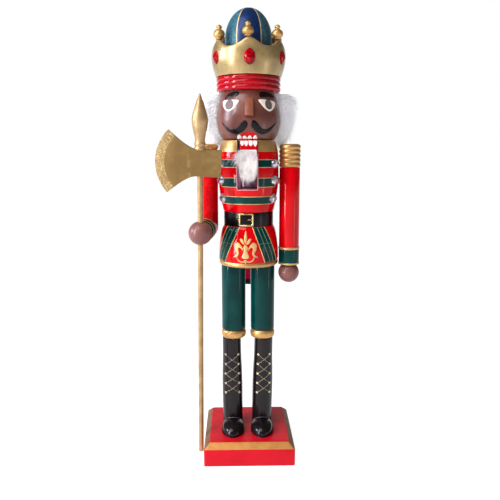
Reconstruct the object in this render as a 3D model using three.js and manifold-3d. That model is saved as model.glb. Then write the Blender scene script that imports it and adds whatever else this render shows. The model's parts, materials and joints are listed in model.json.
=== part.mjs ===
// A free-standing nutcracker soldier in turned and painted wood, about 24 inches tall.
// Millimetres, +Z up. The origin is the centre of the base's underside, the figure faces -Y, and
// +X is the side of the hanging arm. Side names are the figure's own: its right hand holds the staff.

import * as THREE from "three";
import { mergeVertices } from "three/addons/utils/BufferGeometryUtils.js";
import Module from "manifold-3d";

const wasm = await Module();
wasm.setup();

// ---------------------------------------------------------------- driving dimensions

const GAP = 0.3; // clearance between neighbouring pieces

const BASE = { side: 125, edgeTop: 24, top: 31.6, bevel: 7.7, cornerRadius: 3 };

const LEG = {
  calfRadius: 14.5,
  bootTop: 165.0,
  kneeTop: 177.8,
  kneeRadius: 17.4,
  thighRadius: 16.8,
  thighTop: 271,
};
const LEGS = [
  { side: "right", footX: -22.8, bootLean: -1.3, thighShift: 1.7 },
  { side: "left", footX: 18.7, bootLean: 2.6, thighShift: 0.8 },
];
const SHOE = { halfWidth: 16.2, halfLength: 25, height: 16.2, centreY: -18.8 };
const LEG_DOWEL = { radius: 4, bottom: 18, top: 52 };

const HIPS_TURN = -6.5; // degrees that the skirt is turned about the upright axis
const TORSO_TURN = -3.5;
const BUCKLE_TURN = -6.8;

const SKIRT = { bottom: 271.3, hemTop: 277.7, top: 326.2, widest: 41.1, spigotRadius: 30.4, spigotTop: 345 };
const BELT = { bottom: 326.5, top: 345, outer: 34.1, inner: 30.8 };
const BUCKLE = { width: 21, height: 17.6, frame: 2.7, thickness: 1.7 };

const TORSO = { bottom: 345.4, shoulder: 425.6, top: 439.6, chestRadius: 40.8, collarBottom: 39.8, collarTop: 36 };
const SLOT = { width: 26.6, bottom: 375.8 };
const WAIST_DOWEL = { radius: 6, bottom: 312, top: 360 };
const NECK_DOWEL = { radius: 3, x: 24, y: -6, bottom: 424, top: 456 };

const LEVER = { width: 22.6, shiftX: 1.85, pivotY: 10, pivotZ: 415, frontY: -39, top: 439.5 };
const TAIL = { innerY: 42.8, thickness: 9.4, bottom: 230 };
const PIN = { radius: 2.5, from: -30.5, to: 38 };
const BEARD = { width: 21, depth: 8, top: 427.4, bottom: 398 };

const HEAD = { bottom: 440.4, top: 502.2 };
const NOSE = { width: 11, topZ: 492.5, tipZ: 469.6, bottomZ: 464.6, tipY: -50.2 };
const HAIR = { bottom: 442.5, top: 500.5, frontY: 3, headGap: 0.6 };

const CROWN = {
  bottom: 502.6,
  ringTop: 521,
  rimMean: 560.2,
  rimWave: 5,
  wall: 5,
  points: 6,
  domeRadius: 31.2,
  domeShoulder: 567,
  top: 608.8,
};
const CROWN_DOWEL = { radius: 6, bottom: 486, top: 540 };
const CROWN_GEM = { halfWidth: 7.8, halfHeight: 11, depth: 4.4, z: 543, turn: 0.5 };
const FINIAL = { ringRadius: 42.8, turn: -2, bulbRadius: 7.3, height: 18 };
const CHEST_GEM = { radius: 6.4, depth: 3.8, angle: 59, rows: [410, 387, 363.3] };

const ARM = { x: 55.9, radius: 13.9, top: 435, epauletteBottom: 404, dowelZ: 386 };
const LEFT_ARM = { sleeveBottom: 292.4, cuffBottom: 271, handZ: 259.3, handRadius: 14.5 };
const ELBOW = new THREE.Vector3(-ARM.x, 0, 324.5);
const RIGHT_HAND = new THREE.Vector3(-60, -55.6, 321);
const RIGHT_ARM = { sleeveLength: 21, cuffLength: 19.6, handRadius: 15.5, handCut: 11.4 };
const ARM_DOWEL = { radius: 4, from: 30, to: 54 };

const STAFF_FOOT = new THREE.Vector3(-68.7, -19.5, 0.4);
const STAFF_GRIP = new THREE.Vector3(-63.3, -51.9, 321);
const ROD = { radius: 3.5, top: 455, bore: 3.92 };
const AXE = {
  height: 411.2,
  tilt: -2,
  thickness: 9.6,
  edgeThickness: 2,
  edgeRadius: 56.8,
  bevelRadius: 45,
  backX: 26.4,
  neckHalf: 16.6,
  tipX: -40.3,
  tipHalf: 39.1,
};
const SPEAR = { bottom: 428.4, widest: 463.5, top: 496.2, radius: 10, neckRadius: 6.4 };

// ---------------------------------------------------------------- paints and materials

const paint = (color, roughness = 0.3, metalness = 0) => ({ color, roughness, metalness });
const RED = paint(0xc80a14);
const BASE_RED = paint(0xd21f2e, 0.45);
const GREEN = paint(0x03463f);
const GOLD = paint(0xb98f4e, 0.4, 0.6);
const BLACK = paint(0x141014, 0.25);
const SKIN = paint(0x6b3a30, 0.35);
const FUR = paint(0xe4e0e2, 0.95);
const NAVY = paint(0x1a2a63, 0.45);
const RUBY = paint(0xb00014, 0.08);
const CRYSTAL = paint(0xe6e8ec, 0.08);
const BARE_WOOD = paint(0xc9a878, 0.6);
const STEEL = paint(0x9a9a9a, 0.4, 0.9);

// ---------------------------------------------------------------- shape helpers

const rad = THREE.MathUtils.degToRad;
const pairs = (list) => list.map(([a, b]) => new THREE.Vector2(a, b));

// A manifold solid from any closed three.js geometry.
function solid(geometry) {
  const bare = geometry.index ? geometry.toNonIndexed() : geometry.clone();
  bare.deleteAttribute("normal");
  bare.deleteAttribute("uv");
  const merged = mergeVertices(bare, 1e-4);
  const index = merged.index.array;
  const triangles = [];
  for (let i = 0; i < index.length; i += 3) {
    const [a, b, c] = [index[i], index[i + 1], index[i + 2]];
    if (a !== b && b !== c && c !== a) triangles.push(a, b, c);
  }
  return new wasm.Manifold(
    new wasm.Mesh({
      numProp: 3,
      vertProperties: new Float32Array(merged.attributes.position.array),
      triVerts: new Uint32Array(triangles),
    }),
  );
}

// The three.js geometry of a manifold solid.
function geometryOf(manifold) {
  const mesh = manifold.getMesh();
  const geometry = new THREE.BufferGeometry();
  geometry.setAttribute("position", new THREE.BufferAttribute(new Float32Array(mesh.vertProperties), 3));
  geometry.setIndex(new THREE.BufferAttribute(new Uint32Array(mesh.triVerts), 1));
  geometry.computeVertexNormals();
  return geometry;
}

// A body turned about +Z from (radius, z) points that run up its outside. Angle 0 is the front, -Y.
function turned(profile, segments = 32) {
  return new THREE.LatheGeometry(pairs(profile), segments).rotateX(Math.PI / 2);
}

// A turned ring: the outline closes on itself instead of meeting the axis.
function turnedRing(profile, segments = 32) {
  return turned([...profile, profile[0]], segments);
}

// A round bar or bore along +Z between two heights.
function bar(radius, from, to, segments = 12) {
  return turned([[0, from], [radius, from], [radius, to], [0, to]], segments);
}

// A shape drawn in the YZ plane, as thick as `width` along X and centred on X = 0.
function extrudedAcross(shape, width) {
  const geometry = new THREE.ExtrudeGeometry(shape, { depth: width, bevelEnabled: false, curveSegments: 8 });
  geometry.translate(0, 0, -width / 2);
  const toYZ = new THREE.Matrix4().makeBasis(
    new THREE.Vector3(0, 1, 0),
    new THREE.Vector3(0, 0, 1),
    new THREE.Vector3(1, 0, 0),
  );
  return geometry.applyMatrix4(toYZ);
}

// A shape drawn in the XZ plane, centred on Y = 0.
function extrudedDeep(shape, depth) {
  const geometry = new THREE.ExtrudeGeometry(shape, { depth, bevelEnabled: false, curveSegments: 10 });
  geometry.translate(0, 0, -depth / 2);
  return geometry.rotateX(Math.PI / 2);
}

// Everything on the side of a plane that its normal points to, as far as the figure reaches.
function halfSpace(point, normal) {
  const size = 2000;
  const box = new THREE.BoxGeometry(size, size, size).translate(0, 0, size / 2);
  const turn = new THREE.Quaternion().setFromUnitVectors(new THREE.Vector3(0, 0, 1), normal);
  box.applyQuaternion(turn);
  return solid(box.translate(point.x, point.y, point.z));
}

// Cuts each of `cutters` (geometries) from `body`.
function drilled(body, cutters) {
  let result = solid(body);
  for (const cutter of cutters) result = result.subtract(solid(cutter));
  return geometryOf(result);
}

function roundedRectangle(halfX, halfY, radius) {
  const shape = new THREE.Shape();
  shape.moveTo(halfX - radius, -halfY);
  shape.absarc(halfX - radius, radius - halfY, radius, -Math.PI / 2, 0);
  shape.absarc(halfX - radius, halfY - radius, radius, 0, Math.PI / 2);
  shape.absarc(radius - halfX, halfY - radius, radius, Math.PI / 2, Math.PI);
  shape.absarc(radius - halfX, radius - halfY, radius, Math.PI, 1.5 * Math.PI);
  return shape;
}

function piece(name, geometry, look) {
  const mesh = new THREE.Mesh(geometryOf(solid(geometry)), new THREE.MeshStandardMaterial(look));
  mesh.name = name;
  return mesh;
}

function groupTurned(degrees) {
  const group = new THREE.Group();
  group.rotation.z = rad(degrees);
  return group;
}

// Stands a piece whose +Z is outward and whose +Y is up on a drum of the given radius. A positive
// `lean`, in radians, tips it to face downwards.
function standOnDrum(mesh, angle, radius, z, lean = 0) {
  const s = Math.sin(rad(angle));
  const c = Math.cos(rad(angle));
  const basis = new THREE.Matrix4().makeBasis(
    new THREE.Vector3(c, s, 0),
    new THREE.Vector3(0, 0, 1),
    new THREE.Vector3(s, -c, 0),
  );
  mesh.quaternion.setFromRotationMatrix(basis);
  mesh.rotateX(lean);
  mesh.position.set(radius * s, -radius * c, z);
}

const figure = new THREE.Group();
const hips = groupTurned(HIPS_TURN);
const trunk = groupTurned(TORSO_TURN);
figure.add(hips, trunk);

// ---------------------------------------------------------------- base

function makeBase() {
  const half = BASE.side / 2;
  const block = new THREE.ExtrudeGeometry(roundedRectangle(half, half, BASE.cornerRadius), {
    depth: BASE.top,
    bevelEnabled: false,
    curveSegments: 4,
  });
  const cornerReach = Math.SQRT2;
  const bevelled = turned(
    [
      [0, -1],
      [half * cornerReach, -1],
      [half * cornerReach, BASE.edgeTop],
      [(half - BASE.bevel) * cornerReach, BASE.top],
      [0, BASE.top],
    ],
    4,
  ).rotateZ(Math.PI / 4);
  let body = solid(block).intersect(solid(bevelled));
  for (const { footX } of LEGS) {
    const hole = bar(LEG_DOWEL.radius + GAP, LEG_DOWEL.bottom - GAP, BASE.top + 5).translate(footX, 0, 0);
    body = body.subtract(solid(hole));
  }
  return piece("base", geometryOf(body), BASE_RED);
}
figure.add(makeBase());

// ---------------------------------------------------------------- legs

function makeLeg({ side, footX, bootLean, thighShift }) {
  const leg = new THREE.Group();
  leg.position.x = footX;

  // The boot leans sideways: every section slides by an amount that grows with its height.
  const bootBottom = BASE.top + GAP;
  const bootHeight = LEG.bootTop - bootBottom;
  const boot = turned(
    [
      [0, bootBottom],
      [13.7, bootBottom],
      [14.1, 50],
      [LEG.calfRadius, 92],
      [LEG.calfRadius - 0.4, 116],
      [13.2, 138],
      [13, LEG.bootTop],
      [0, LEG.bootTop],
    ],
    24,
  );
  boot.translate(0, 0, -bootBottom);
  boot.applyMatrix4(new THREE.Matrix4().makeShear(0, 0, 0, 0, bootLean / bootHeight, 0));
  boot.translate(0, 0, bootBottom);
  const dowelBore = bar(LEG_DOWEL.radius + GAP, bootBottom - 5, LEG_DOWEL.top + GAP);
  leg.add(piece(`${side}_boot`, drilled(boot, [dowelBore]), BLACK));
  leg.add(piece(`${side}_leg_dowel`, bar(LEG_DOWEL.radius, LEG_DOWEL.bottom, LEG_DOWEL.top), BARE_WOOD));

  const toe = new THREE.SphereGeometry(1, 20, 12).rotateX(Math.PI / 2);
  toe.scale(SHOE.halfWidth, SHOE.halfLength, SHOE.height).translate(0, SHOE.centreY, bootBottom);
  const ground = halfSpace(new THREE.Vector3(0, 0, bootBottom), new THREE.Vector3(0, 0, -1));
  const ankle = solid(bar(LEG.calfRadius + GAP, 0, 90, 24));
  const heelSide = halfSpace(new THREE.Vector3(0, 0, 0), new THREE.Vector3(0, 1, 0));
  const shoe = solid(toe).subtract(ground).subtract(ankle).subtract(heelSide);
  leg.add(piece(`${side}_shoe`, geometryOf(shoe), BLACK));

  const upper = new THREE.Group();
  upper.position.x = thighShift;
  leg.add(upper);
  const kneeBottom = LEG.bootTop + GAP;
  const kneeTop = LEG.kneeTop;
  const kneeMiddle = (kneeBottom + kneeTop) / 2;
  const knee = turned(
    [
      [0, kneeBottom],
      [14.4, kneeBottom],
      [LEG.kneeRadius - 0.6, kneeMiddle - 3.2],
      [LEG.kneeRadius, kneeMiddle],
      [LEG.kneeRadius - 0.6, kneeMiddle + 3.2],
      [15.8, kneeTop],
      [0, kneeTop],
    ],
    24,
  );
  upper.add(piece(`${side}_knee_ring`, knee, GOLD));
  const thigh = bar(LEG.thighRadius, kneeTop + GAP, LEG.thighTop, 24);
  upper.add(piece(`${side}_thigh`, thigh, GREEN));
  return leg;
}
for (const leg of LEGS) figure.add(makeLeg(leg));

// ---------------------------------------------------------------- skirt, belt and buckle

const waistBore = bar(WAIST_DOWEL.radius + GAP, WAIST_DOWEL.bottom - GAP, WAIST_DOWEL.top + GAP);

const skirt = turned([
  [0, SKIRT.bottom],
  [37, SKIRT.bottom],
  [39.2, SKIRT.bottom + 1],
  [40.3, SKIRT.bottom + 3.4],
  [40.3, SKIRT.hemTop],
  [SKIRT.widest, 282],
  [40.7, 296],
  [39, 310],
  [36.7, 321],
  [34.2, SKIRT.top],
  [SKIRT.spigotRadius, SKIRT.top],
  [SKIRT.spigotRadius, SKIRT.spigotTop],
  [0, SKIRT.spigotTop],
]);
hips.add(piece("skirt", drilled(skirt, [waistBore]), RED));

const belt = turnedRing([
  [BELT.inner, BELT.bottom],
  [BELT.outer, BELT.bottom],
  [BELT.outer, BELT.top],
  [BELT.inner, BELT.top],
]);
hips.add(piece("belt", belt, BLACK));

// The buckle is an open frame with a prong, bent to the belt.
function makeBuckle() {
  const halfX = BUCKLE.width / 2;
  const halfZ = BUCKLE.height / 2;
  const frame = roundedRectangle(halfX, halfZ, 1.2);
  const window = new THREE.Path();
  const innerX = halfX - BUCKLE.frame;
  const innerZ = halfZ - BUCKLE.frame;
  window.moveTo(-innerX, -innerZ);
  window.lineTo(-innerX, innerZ);
  window.lineTo(innerX, innerZ);
  window.lineTo(innerX, 1);
  window.lineTo(innerX - 6, 1);
  window.lineTo(innerX - 6, -1);
  window.lineTo(innerX, -1);
  window.lineTo(innerX, -innerZ);
  frame.holes.push(window);
  const inner = BELT.outer + GAP;
  const outer = inner + BUCKLE.thickness;
  const middle = (BELT.bottom + BELT.top) / 2;
  const shell = turnedRing(
    [[inner, middle - 12], [outer, middle - 12], [outer, middle + 12], [inner, middle + 12]],
    48,
  );
  const plate = extrudedDeep(frame, 20).translate(0, -outer, middle);
  const mesh = piece("buckle", geometryOf(solid(shell).intersect(solid(plate))), GOLD);
  mesh.rotation.z = rad(BUCKLE_TURN);
  return mesh;
}
figure.add(makeBuckle());
figure.add(piece("waist_dowel", bar(WAIST_DOWEL.radius, WAIST_DOWEL.bottom, WAIST_DOWEL.top), BARE_WOOD));

// ---------------------------------------------------------------- torso with its slot

// A round bar or bore along +X at the given y and z.
function crossBar(radius, from, to, y, z) {
  return bar(radius, from, to, 16).rotateY(Math.PI / 2).translate(0, y, z);
}

// The slot runs from front to back with a level floor, and is open at the top.
const slotReach = 60;
const slotShape = new THREE.Shape(
  pairs([
    [-slotReach, SLOT.bottom],
    [slotReach, SLOT.bottom],
    [slotReach, TORSO.top + slotReach],
    [-slotReach, TORSO.top + slotReach],
  ]),
);
const slotCutter = extrudedAcross(slotShape, SLOT.width);
const neckBores = [-1, 1].map((side) =>
  bar(NECK_DOWEL.radius + GAP, NECK_DOWEL.bottom - GAP, NECK_DOWEL.top + GAP, 12)
    .translate(side * NECK_DOWEL.x, NECK_DOWEL.y, 0),
);
const pinBore = crossBar(PIN.radius + GAP, PIN.from - GAP, 60, LEVER.pivotY, LEVER.pivotZ);
const armBores = [-1, 1].map((side) => {
  const bore = crossBar(ARM_DOWEL.radius + GAP, ARM_DOWEL.from - GAP, ARM_DOWEL.to + GAP, 0, ARM.dowelZ);
  return side < 0 ? bore.rotateZ(Math.PI) : bore;
});

const torsoSide = [
  [34.4, TORSO.bottom],
  [35.3, 348.8],
  [37.5, 360],
  [39.6, 373.5],
  [TORSO.chestRadius, 388],
  [TORSO.chestRadius, 403],
  [40.2, TORSO.shoulder - 4],
  [TORSO.collarBottom, TORSO.shoulder],
  [TORSO.collarTop, TORSO.top],
];
const torso = turned([[0, TORSO.bottom], ...torsoSide, [0, TORSO.top]], 40);
trunk.add(piece("torso", drilled(torso, [slotCutter, waistBore, pinBore, ...neckBores, ...armBores]), RED));

for (const [index, side] of ["right", "left"].entries()) {
  const dowel = bar(NECK_DOWEL.radius, NECK_DOWEL.bottom, NECK_DOWEL.top, 12);
  const mesh = piece(`${side}_neck_dowel`, dowel, BARE_WOOD);
  mesh.position.set((index * 2 - 1) * NECK_DOWEL.x, NECK_DOWEL.y, 0);
  trunk.add(mesh);
}

// ---------------------------------------------------------------- jaw lever, its pin and the beard

function makeLever() {
  const { frontY, top, pivotY, pivotZ } = LEVER;
  const outerY = TAIL.innerY + TAIL.thickness;
  const endRadius = TAIL.thickness / 2;
  const shape = new THREE.Shape();
  shape.moveTo(frontY, top);
  shape.lineTo(frontY, 405);
  shape.quadraticCurveTo(frontY, 398.5, frontY + 8, 398);
  shape.lineTo(pivotY - 12, pivotZ - 22.5);
  shape.lineTo(34, 393);
  shape.quadraticCurveTo(TAIL.innerY, 391, TAIL.innerY, 380);
  shape.lineTo(TAIL.innerY, TAIL.bottom + endRadius);
  shape.absarc(TAIL.innerY + endRadius, TAIL.bottom + endRadius, endRadius, Math.PI, 2 * Math.PI);
  shape.lineTo(outerY, 400);
  shape.quadraticCurveTo(outerY, 424, 31, 432);
  shape.lineTo(pivotY, top);
  const bore = crossBar(PIN.radius + 0.08, -40, 40, pivotY, pivotZ);
  return piece("jaw_lever", drilled(extrudedAcross(shape, LEVER.width), [bore]), RED);
}
const lever = makeLever();
lever.position.x = LEVER.shiftX;
trunk.add(lever);
trunk.add(piece("lever_pin", crossBar(PIN.radius, PIN.from, PIN.to, LEVER.pivotY, LEVER.pivotZ), STEEL));

function makeBeard() {
  const back = LEVER.frontY - GAP;
  const front = back - BEARD.depth;
  const shape = new THREE.Shape();
  shape.moveTo(back, BEARD.top);
  shape.quadraticCurveTo(front, BEARD.top - 2, front, BEARD.top - 12);
  shape.quadraticCurveTo(front, BEARD.bottom + 4, back - 2.5, BEARD.bottom);
  shape.lineTo(back, BEARD.bottom);
  return piece("beard", extrudedAcross(shape, BEARD.width), FUR);
}
const beard = makeBeard();
beard.position.x = LEVER.shiftX;
trunk.add(beard);

// ---------------------------------------------------------------- chest stones

function cutStone(radius, depth, segments) {
  return turned(
    [[0, 0], [radius, 0], [radius, depth * 0.3], [radius * 0.55, depth], [0, depth]],
    segments,
  );
}

// The torso's outside radius at a height.
function torsoRadius(z) {
  const upper = torsoSide.findIndex((point) => point[1] >= z);
  const [lowRadius, lowZ] = torsoSide[upper - 1];
  const [highRadius, highZ] = torsoSide[upper];
  return THREE.MathUtils.mapLinear(z, lowZ, highZ, lowRadius, highRadius);
}

for (const [row, z] of CHEST_GEM.rows.entries()) {
  const below = torsoRadius(z - CHEST_GEM.radius);
  const above = torsoRadius(z + CHEST_GEM.radius);
  const seat = Math.max(torsoRadius(z), (below + above) / 2) + 2 * GAP;
  const lean = Math.atan2(above - below, 2 * CHEST_GEM.radius);
  for (const [side, sign] of [["right", -1], ["left", 1]]) {
    const stone = piece(`${side}_chest_stone_${row + 1}`, cutStone(CHEST_GEM.radius, CHEST_GEM.depth, 10), CRYSTAL);
    standOnDrum(stone, sign * CHEST_GEM.angle, seat, z, lean);
    trunk.add(stone);
  }
}

// ---------------------------------------------------------------- head, nose and hair

// Points of the head's outside, each grown outwards by `grow`.
function headProfile(grow = 0) {
  return [
    [0, HEAD.bottom],
    [33.6 + grow, HEAD.bottom],
    [35.6 + grow, 442.3],
    [38.6 + grow, 448.2],
    [40.9 + grow, 456.1],
    [41.7 + grow, 466.6],
    [40.8 + grow, 477],
    [38.4 + grow, 488.7],
    [35.9 + grow, 496.5],
    [33.6 + grow, HEAD.top],
    [0, HEAD.top],
  ];
}
const crownBore = bar(CROWN_DOWEL.radius + GAP, CROWN_DOWEL.bottom - GAP, CROWN_DOWEL.top + GAP);
const turnedNeckBores = neckBores.map((bore) => bore.clone().rotateZ(rad(TORSO_TURN)));
figure.add(piece("head", drilled(turned(headProfile()), [crownBore, ...turnedNeckBores]), SKIN));

const noseShape = new THREE.Shape(
  pairs([[-30, NOSE.topZ - 0.5], [-37.6, NOSE.topZ], [NOSE.tipY, NOSE.tipZ], [-30, NOSE.bottomZ - 5.2]]),
);
const nose = drilled(extrudedAcross(noseShape, NOSE.width), [turned(headProfile(GAP))]);
figure.add(piece("nose", nose, SKIN));

function makeHair() {
  const outside = turned([
    [0, HAIR.bottom],
    [46, HAIR.bottom],
    [55, 450],
    [60, 464],
    [63, 480],
    [64, 492],
    [58, HAIR.top],
    [0, HAIR.top],
  ]);
  const face = halfSpace(new THREE.Vector3(0, HAIR.frontY, 0), new THREE.Vector3(0, -1, 0));
  const scalp = solid(turned(headProfile(HAIR.headGap)));
  const head = scalp.add(solid(bar(34.2, HEAD.bottom - 5, HEAD.top + 5, 40)));
  return piece("hair", geometryOf(solid(outside).subtract(face).subtract(head)), FUR);
}
figure.add(makeHair());

// ---------------------------------------------------------------- crown

const crownRing = turned([
  [0, CROWN.bottom],
  [41.2, CROWN.bottom],
  [42.6, CROWN.bottom + 1.8],
  [42.6, CROWN.bottom + 4],
  [41.4, CROWN.bottom + 5.8],
  [42.4, CROWN.bottom + 7.6],
  [42.4, CROWN.bottom + 10.6],
  [41.4, CROWN.bottom + 12.4],
  [42.2, CROWN.bottom + 14],
  [42.2, CROWN.ringTop - 1.2],
  [41.2, CROWN.ringTop],
  [0, CROWN.ringTop],
]);
figure.add(piece("crown_base_ring", drilled(crownRing, [crownBore]), RED));

// Outside radius of the gold shell at a height: it swells and draws in again below the rim.
function shellRadius(z) {
  const bulge = Math.sin((Math.PI * (z - CROWN.ringTop)) / 52);
  return 43.2 + 5.6 * bulge;
}

// The shell's rim waves between its points. The grid is a turned unit ring whose height and radius
// are then set for every vertex.
function makeShell() {
  const levels = 5;
  const bottom = CROWN.ringTop + GAP;
  const outline = [];
  for (let i = 0; i <= levels; i += 1) outline.push([2, i / levels]);
  for (let i = levels; i >= 0; i -= 1) outline.push([1, i / levels]);
  const geometry = turnedRing(outline, 48);
  const place = geometry.attributes.position;
  for (let i = 0; i < place.count; i += 1) {
    const x = place.getX(i);
    const y = place.getY(i);
    const ringRadius = Math.hypot(x, y);
    const angle = Math.atan2(x, -y);
    const rim = CROWN.rimMean + CROWN.rimWave * Math.cos(CROWN.points * angle);
    const z = bottom + place.getZ(i) * (rim - bottom);
    const radius = shellRadius(z) - (ringRadius < 1.5 ? CROWN.wall : 0);
    place.setXYZ(i, radius * Math.sin(angle), -radius * Math.cos(angle), z);
  }
  return piece("crown_shell", geometry, GOLD);
}
figure.add(makeShell());

function makeDome() {
  const bottom = CROWN.ringTop + GAP;
  const profile = [[0, bottom], [CROWN.domeRadius, bottom]];
  const steps = 7;
  const fullness = 2.05;
  for (let i = 0; i <= steps; i += 1) {
    const rise = Math.sin((Math.PI / 2) * (i / steps));
    const z = CROWN.domeShoulder + rise * (CROWN.top - CROWN.domeShoulder);
    const radius = CROWN.domeRadius * Math.max(0, 1 - rise ** fullness) ** (1 / fullness);
    profile.push([i === steps ? 0 : radius, z]);
  }
  return piece("crown_dome", drilled(turned(profile, 30), [crownBore]), NAVY);
}
figure.add(makeDome());
figure.add(piece("crown_dowel", bar(CROWN_DOWEL.radius, CROWN_DOWEL.bottom, CROWN_DOWEL.top), BARE_WOOD));

function makeFinial(index) {
  const bulb = FINIAL.bulbRadius;
  const knob = 3.2;
  const profile = [
    [0, 0],
    [3.2, 0],
    [bulb * 0.8, 3],
    [bulb, 6.6],
    [bulb * 0.76, 10.8],
    [2.5, 13],
    [knob, 15.2],
    [0, FINIAL.height],
  ];
  const mesh = piece(`crown_finial_${index + 1}`, turned(profile, 12), GOLD);
  const angle = rad((index * 360) / CROWN.points + FINIAL.turn);
  const peak = CROWN.rimMean + CROWN.rimWave + GAP;
  mesh.position.set(FINIAL.ringRadius * Math.sin(angle), -FINIAL.ringRadius * Math.cos(angle), peak);
  return mesh;
}

function makeCrownGem(index) {
  const stone = cutStone(1, 1, 12).scale(CROWN_GEM.halfWidth, CROWN_GEM.halfHeight, CROWN_GEM.depth);
  const mesh = piece(`crown_gem_${index + 1}`, stone, RUBY);
  const angle = (index * 360) / CROWN.points + CROWN_GEM.turn;
  standOnDrum(mesh, angle, shellRadius(CROWN_GEM.z) + 2 * GAP, CROWN_GEM.z);
  return mesh;
}
for (let index = 0; index < CROWN.points; index += 1) figure.add(makeFinial(index), makeCrownGem(index));

// ---------------------------------------------------------------- arms

function epauletteProfile() {
  const rings = 5;
  const bottom = ARM.epauletteBottom + GAP;
  const pitch = (ARM.top - 1.5 - bottom) / rings;
  const profile = [[0, bottom], [ARM.radius - 0.6, bottom]];
  for (let ring = 0; ring < rings; ring += 1) {
    const z = bottom + ring * pitch;
    profile.push([ARM.radius + 0.7, z + pitch * 0.3], [ARM.radius + 0.7, z + pitch * 0.7]);
    profile.push([ARM.radius - 0.6, z + pitch]);
  }
  profile.push([ARM.radius - 2.5, ARM.top], [0, ARM.top]);
  return profile;
}

function makeLeftArm() {
  const arm = new THREE.Group();
  arm.position.x = ARM.x;
  arm.add(piece("left_epaulette", turned(epauletteProfile(), 18), GOLD));
  const bore = armBores[1].clone().translate(-ARM.x, 0, 0);
  const sleeve = bar(ARM.radius, LEFT_ARM.sleeveBottom, ARM.epauletteBottom, 24);
  arm.add(piece("left_sleeve", drilled(sleeve, [bore]), RED));
  const cuff = bar(ARM.radius + 0.3, LEFT_ARM.cuffBottom, LEFT_ARM.sleeveBottom - GAP, 24);
  arm.add(piece("left_cuff", cuff, GREEN));
  const ball = new THREE.SphereGeometry(LEFT_ARM.handRadius, 18, 12).rotateX(Math.PI / 2);
  const wrist = halfSpace(new THREE.Vector3(0, 0, LEFT_ARM.cuffBottom - GAP), new THREE.Vector3(0, 0, 1));
  const hand = solid(ball.translate(0, 0, LEFT_ARM.handZ)).subtract(wrist);
  arm.add(piece("left_hand", geometryOf(hand), SKIN));
  return arm;
}
trunk.add(makeLeftArm());

// The staff arm is made in the trunk's turned frame: a vertical sleeve mitred to a level forearm.
function makeRightArm() {
  const arm = new THREE.Group();
  const shoulder = new THREE.Group();
  shoulder.position.x = -ARM.x;
  shoulder.add(piece("right_epaulette", turned(epauletteProfile(), 18), GOLD));
  arm.add(shoulder);

  const forward = RIGHT_HAND.clone().sub(ELBOW);
  const reach = forward.length();
  forward.normalize();
  const mitre = new THREE.Vector3(0, 0, 1).sub(forward).normalize();
  const above = ELBOW.clone().addScaledVector(mitre, GAP / 2);
  const below = ELBOW.clone().addScaledVector(mitre, -GAP / 2);

  const sleeve = bar(ARM.radius, ELBOW.z - 40, ARM.epauletteBottom, 24).translate(-ARM.x, 0, 0);
  const upper = solid(sleeve)
    .subtract(halfSpace(above, mitre.clone().negate()))
    .subtract(solid(armBores[0]));
  arm.add(piece("right_upper_sleeve", geometryOf(upper), RED));

  // Bodies along the forearm: distance is measured from the elbow towards the hand.
  const along = new THREE.Quaternion().setFromUnitVectors(new THREE.Vector3(0, 0, 1), forward);
  const layAlong = (geometry) => geometry.applyQuaternion(along).translate(ELBOW.x, ELBOW.y, ELBOW.z);
  const forearm = solid(layAlong(bar(ARM.radius, -30, RIGHT_ARM.sleeveLength, 24)));
  arm.add(piece("right_forearm", geometryOf(forearm.subtract(halfSpace(below, mitre))), RED));

  const cuffStart = RIGHT_ARM.sleeveLength + GAP;
  const cuffEnd = RIGHT_ARM.sleeveLength + RIGHT_ARM.cuffLength;
  const cuff = turned(
    [
      [0, cuffStart],
      [ARM.radius + 0.3, cuffStart],
      [ARM.radius + 0.3, cuffEnd - 3],
      [ARM.radius + 0.9, cuffEnd - 1.8],
      [ARM.radius + 0.3, cuffEnd],
      [0, cuffEnd],
    ],
    24,
  );
  arm.add(piece("right_cuff", layAlong(cuff), GREEN));

  const ball = new THREE.SphereGeometry(RIGHT_ARM.handRadius, 18, 12).rotateX(Math.PI / 2);
  const wristFrom = ELBOW.clone().addScaledVector(forward, Math.max(cuffEnd + GAP, reach - RIGHT_ARM.handCut));
  const wrist = halfSpace(wristFrom, forward.clone().negate());
  const hand = solid(ball.translate(RIGHT_HAND.x, RIGHT_HAND.y, RIGHT_HAND.z)).subtract(wrist);
  const rodBore = staffBar(ROD.bore, 250, 400).rotateZ(rad(-TORSO_TURN));
  arm.add(piece("right_hand", geometryOf(hand.subtract(solid(rodBore))), SKIN));
  return arm;
}

// ---------------------------------------------------------------- staff

const staffLine = STAFF_GRIP.clone().sub(STAFF_FOOT).normalize();
const staffTurn = new THREE.Quaternion().setFromUnitVectors(new THREE.Vector3(0, 0, 1), staffLine);

// A round bar or bore on the staff's line, between two distances from its foot.
function staffBar(radius, from, to) {
  const body = bar(radius, from, to, 12).applyQuaternion(staffTurn);
  return body.translate(STAFF_FOOT.x, STAFF_FOOT.y, STAFF_FOOT.z);
}
trunk.add(makeRightArm());

for (const [side, sign] of [["right", -1], ["left", 1]]) {
  const dowel = crossBar(ARM_DOWEL.radius, ARM_DOWEL.from, ARM_DOWEL.to, 0, ARM.dowelZ);
  if (sign < 0) dowel.rotateZ(Math.PI);
  trunk.add(piece(`${side}_arm_dowel`, dowel, BARE_WOOD));
}

const staff = new THREE.Group();
staff.quaternion.copy(staffTurn);
staff.position.copy(STAFF_FOOT);
figure.add(staff);
staff.add(piece("staff_rod", bar(ROD.radius, 0, ROD.top, 12), GOLD));

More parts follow.
